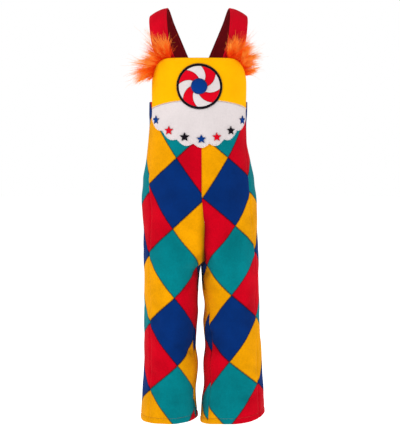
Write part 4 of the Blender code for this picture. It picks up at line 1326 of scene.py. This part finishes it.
def sewing(name, stitches, thread, thickness=THREAD):
    """All the stitches of one thread, as one piece."""
    first, second = (np.concatenate(ends) for ends in zip(*stitches))
    mesh = bpy.data.meshes.new(name + "_marks")
    mesh.from_pydata(((first + second) / 2).tolist(), [], [])
    way = mesh.attributes.new("way", "FLOAT_VECTOR", "POINT")
    way.data.foreach_set("vector", (second - first).ravel())
    piece = grown_piece(name, mesh, STITCH_TREE, {"Thread": thickness, "Colour": THREADS[thread]})
    finish(piece)


def tuft_frame(along):
    """Places on the bib's corner edge, and the direction away from the bib there, flat on the cloth."""
    across = TUFT_FROM + (TUFT_TO - TUFT_FROM) * along
    near = 0.5 * MM
    fall = bib_top(across + near) - bib_top(across - near)
    run = unit(np.stack([np.full_like(across, 2 * near), fall], axis=-1))
    return across, bib_top(across), -run[..., 1], run[..., 0]


def on_strip(side, along, out, lift):
    """Places on a tuft's strip."""
    across, z, away_across, away_z = tuft_frame(along)
    return on_body(side * (across + away_across * out), z + away_z * out, lift)


def tuft_backing(name, side):
    """The narrow strip that the fur grows from."""
    along = np.linspace(0, 1, STRIP_GRID[0])[:, None]
    out = np.linspace(STRIP_IN, STRIP_OUT, STRIP_GRID[1])[None, :]
    along, out = np.broadcast_arrays(along, out)
    outer = on_strip(side, along, out, np.full_like(out, -0.2 * MM))
    inner = on_strip(side, along, out, np.full_like(out, -STRIP_WALL + 0.4 * MM))
    return cloth_piece(name, outer, inner, [FUR_BACKING])


def hair_paths(side):
    """Each hair's path: out of the strip, drawn towards its clump, drooping and spreading at the tip."""
    random = np.random.default_rng(FUR_SEEDS[side])
    hairs = FUR_HAIRS
    clump_at = FUR_END * (np.arange(FUR_CLUMPS) + random.uniform(0.0, 1.0, FUR_CLUMPS)) / FUR_CLUMPS
    lie = curves(FUR_COLUMNS, FUR_LIE[side])
    clump_angle = lie["angle"](clump_at) + random.normal(0, CLUMP_TURN, FUR_CLUMPS)
    clump_lean = lie["lean"](clump_at) + random.uniform(*CLUMP_LEAN, FUR_CLUMPS)
    clump_length = lie["length"](clump_at) * random.uniform(*CLUMP_LENGTHS, FUR_CLUMPS)
    clump_swing = random.normal(0, CLUMP_SWING, (FUR_CLUMPS, 3))
    clump = random.integers(0, FUR_CLUMPS, hairs)
    under = random.random(hairs) < UNDERCOAT
    along = np.clip(clump_at[clump] + random.normal(0, ROOT_SPREAD, hairs), 0.0, FUR_END)
    out = random.uniform(STRIP_IN * 0.2, STRIP_OUT, hairs)
    roots = on_strip(side, along, out, random.uniform(-STRIP_WALL * 0.7, -0.3 * MM, hairs))
    spread = np.where(under, UNDER_SPREAD, HAIR_SPREAD)
    rise = np.radians(clump_angle[clump] + random.normal(0, 1, hairs) * spread)
    tip = np.radians(clump_lean[clump] + random.normal(0, 1, hairs) * spread)
    way = np.stack([side * np.cos(rise) * np.cos(tip), -np.sin(tip), np.sin(rise) * np.cos(tip)], axis=-1)
    length = clump_length[clump] * np.where(under, random.uniform(*UNDER_LENGTHS, hairs), 1.0)
    length = length * random.uniform(*HAIR_LENGTHS, hairs)
    stray = random.random(hairs) < STRAY_SHARE
    length = np.where(stray, length * random.uniform(*STRAY_LENGTHS, hairs), length)
    own_swing = random.normal(0, HAIR_SWING, (hairs, 3)) * np.where(stray, STRAY_SWING, 1.0)[:, None]
    t = np.linspace(0, 1, FUR_POINTS)
    droop = random.uniform(*DROOP, hairs)
    grown = length[:, None] * t
    paths = roots[:, None, :] + way[:, None, :] * grown[..., None]
    paths += (clump_swing[clump] + own_swing)[:, None, :] * (grown * t)[..., None]
    middle = on_strip(side, clump_at, np.zeros(FUR_CLUMPS), np.full(FUR_CLUMPS, -STRIP_WALL / 2))
    drawn = np.where(under, 0.0, DRAWN)[:, None] * t
    paths -= (roots - middle[clump])[:, None, :] * drawn[..., None]
    paths[..., 2] -= droop[:, None] * grown**2
    kink = random.uniform(0, 2 * math.pi, hairs)[:, None]
    paths[..., 0] += KINK * np.sin(5 * t + kink) * t
    paths[..., 1] += KINK * np.cos(4 * t + kink) * t
    paths[..., 1] = np.maximum(paths[..., 1], FUR_FRONT)
    tone = random.random(FUR_CLUMPS)[clump] * CLUMP_TONE + random.random(hairs) * HAIR_TONE
    tone = tone - np.where(under, UNDER_DEEPER, 0.0) - 0.5
    return paths, np.tile(t, hairs), np.repeat(tone, FUR_POINTS)


def tuft_fur(name, side):
    """The fur of one tuft."""
    paths, along, tone = hair_paths(side)
    index = np.arange(FUR_HAIRS * FUR_POINTS).reshape(FUR_HAIRS, FUR_POINTS)
    edges = np.stack([index[:, :-1], index[:, 1:]], axis=-1).reshape(-1, 2)
    mesh = bpy.data.meshes.new(name + "_hairs")
    mesh.from_pydata(paths.reshape(-1, 3).tolist(), edges.tolist(), [])
    for label, values in (("along", along), ("tone", tone)):
        mesh.attributes.new(label, "FLOAT", "POINT").data.foreach_set("value", values)
    return grown_piece(name, mesh, HAIR_TREE, {"Thickness": FUR_THICK, "Fur": FUR})


def make_legs():
    """The four printed panels and the stitches of the two hems."""
    hems = []
    for node, cut in LEG_CUTS.items():
        part, side_name = node.split("_")
        piece, hem = leg_panel(node + "_fleece", SIDES[side_name], part == "back")
        hems.append(running_stitches(hem))
        finish_cloth(piece, node)
    sewing("hem_stitches", hems, "brown", THICK_THREAD)


def make_bib():
    """The bib with its rosette and its stars."""
    upper = bib_part("bib_upper_felt", bib_top, yoke_top, 0.0, BIB_CLOTHS["yellow"])
    yoke = bib_part("bib_yoke_felt", yoke_top, yoke_low, SEAM_GAP, BIB_CLOTHS["white"])
    finish_cloth(yoke, "bib_yoke")
    for i, first in enumerate(VANE_TURNS):
        cloth = VANE_CLOTHS[i % len(VANE_CLOTHS)]
        piece = vane(f"vane_{i + 1}_felt", first, BIB_CLOTHS[cloth])
        finish_cloth(piece, f"vane_{i + 1}")
    trims = [rosette_ring(BIB_CLOTHS["black"])]
    finish(trims[0], "rosette_ring")
    for side_name, side in SIDES.items():
        trims.append(tuft_backing(f"tuft_{side_name}_backing", side))
        finish(trims[-1])
    finish_cloth(upper, "bib_upper")
    dome = rosette_dome(BIB_CLOTHS["blue"])
    finish(dome, "rosette_dome")
    for i, (across, z, cloth) in enumerate(STARS):
        piece = star(f"star_{i + 1}_felt", across, z, BIB_CLOTHS[cloth])
        finish_cloth(piece, f"star_{i + 1}")


def sew_bib():
    """The satin stitches over the cut edges and the row of stitches inside the bib's edge."""
    sewn = {name: [] for name in ("white", "black", "blue", "red")}
    face = MOTIF_BASE + MOTIF_WALL * SATIN_IN_EDGE
    for across, z, cloth in STARS:
        sewn[cloth].append(satin_stitches(*star_outline(across, z, 4).T, face, STAR_SATIN))
    angles = np.linspace(0, 2 * math.pi, 240)
    for radius in (VANE_OUT + SEAM_GAP / 2, RING_OUT):
        sewn["black"].append(satin_stitches(*polar(radius, angles), face))
    sewn["blue"].append(satin_stitches(*polar(DOME_RADIUS + 0.4 * MM, angles), face + DOME_SATIN_RISE))
    for first in VANE_TURNS:
        radius, low, _ = vane_edges(first, np.linspace(0.03, 0.97, 30))
        sewn["red"].append(satin_stitches(*polar(radius, low), face + VANE_SATIN_RISE, VANE_SATIN))
    columns = np.linspace(-BIB_HALF + 1 * MM, BIB_HALF - 1 * MM, 400)
    sewn["white"].append(satin_stitches(columns, yoke_top(columns), BIB_FACE, YOKE_TOP_SATIN))
    sewn["white"].append(satin_stitches(columns, yoke_low(columns) + 0.9 * MM, BIB_FACE, YOKE_LOW_SATIN))
    for name, stitches in sewn.items():
        sewing(f"{name}_satin_stitches", stitches, name, THICK_THREAD)
    sewing("bib_edge_stitches", [running_stitches(bib_edge_line())], "yellow")


def bib_edge_line():
    """The row of stitches inside the bib's top edge and sides."""
    columns = np.linspace(-BIB_HALF, BIB_HALF, 241)
    edge = np.stack([columns, bib_top(columns)], axis=-1)
    corner = np.array([[BIB_HALF, float(yoke_top(BIB_HALF))]])
    edge = np.concatenate([corner * (-1, 1), edge, corner])
    way = unit(np.gradient(edge, axis=0))
    line = edge + np.stack([way[:, 1], -way[:, 0]], axis=-1) * EDGE_STITCH_IN
    line = line[abs(line[:, 0]) <= BIB_HALF - EDGE_STITCH_IN * 0.9]
    return on_body(*line.T, BIB_FACE)


def make_straps():
    """The two straps with their stitches."""
    lines = []
    for side_name, side in SIDES.items():
        piece, rows = strap(f"strap_{side_name}_fleece", side)
        lines += [running_stitches(row) for row in rows]
        finish_cloth(piece, f"strap_{side_name}")
    sewing("strap_stitches", lines, "red")


def make_tufts():
    """The fur of the two tufts."""
    for side_name, side in SIDES.items():
        finish(tuft_fur(f"tuft_{side_name}_fur", side), f"tuft_{side_name}")


def soft_light(name, place, size, power):
    """A large square lamp that shines on the garment's middle."""
    lamp = bpy.data.lights.new(name, "AREA")
    lamp.size = size
    lamp.energy = power
    holder = placed(name, lamp)
    holder.location = place
    aim = Vector((0, 0, -0.4)) - Vector(place)
    holder.rotation_euler = aim.to_track_quat("-Z", "Y").to_euler()


def white_room():
    """A world that looks white and gives less light than it shows."""
    world = bpy.data.worlds.new("white_studio")
    world.use_nodes = True
    tree = world.node_tree
    seen = tree.nodes["Background"]
    given = add_node(tree, "ShaderNodeBackground", inputs={"Color": WHITE, "Strength": ROOM_LIGHT})
    path = add_node(tree, "ShaderNodeLightPath")
    inputs = {0: path.outputs["Is Camera Ray"], 1: given.outputs[0], 2: seen.outputs[0]}
    both = add_node(tree, "ShaderNodeMixShader", inputs=inputs)
    give(tree, seen, {"Color": WHITE})
    give(tree, tree.nodes["World Output"], {"Surface": both.outputs[0]})
    return world


def white_floor():
    """A wide round floor under the garment."""
    whole = bmesh.new()
    bmesh.ops.create_circle(whole, cap_ends=True, segments=64, radius=9.0)
    mesh = bpy.data.meshes.new("studio_floor")
    whole.to_mesh(mesh)
    whole.free()
    mesh.transform(Matrix.Translation((0, 0, FLOOR_Z)))
    paint, tree, shader, _ = new_material("white_floor_paint")
    looks = {"Base Color": linear("#F7F7F7"), "Roughness": 0.9, "Emission Color": WHITE}
    give(tree, shader, {**looks, "Emission Strength": 0.8})
    mesh.materials.append(paint)
    return placed("studio_floor", mesh)


def make_studio():
    """A white floor and a white room's light, with the camera where the photographer stood."""
    scene = bpy.context.scene
    scene.world = white_room()
    scene.view_settings.view_transform = "Standard"
    white_floor()
    soft_light("key_light", (-2.1, -1.5, 1.2), 1.1, 39)
    soft_light("fill_light", (2.3, -1.5, 0.6), 1.5, 26)
    camera = bpy.data.cameras.new("photograph")
    camera.sensor_fit = "VERTICAL"
    camera.sensor_height = SENSOR
    camera.lens = SENSOR * FOCAL_PIXELS / PICTURE_HEIGHT
    stand = Vector((0, -math.cos(CAMERA_RISE), math.sin(CAMERA_RISE))) * CAMERA_OFF
    holder = placed("photograph", camera)
    holder.location = CAMERA_AIM + stand
    holder.rotation_euler = (-stand).to_track_quat("-Z", "Y").to_euler()
    scene.camera = holder


make_studio()
make_legs()
make_bib()
sew_bib()
make_straps()
make_tufts()
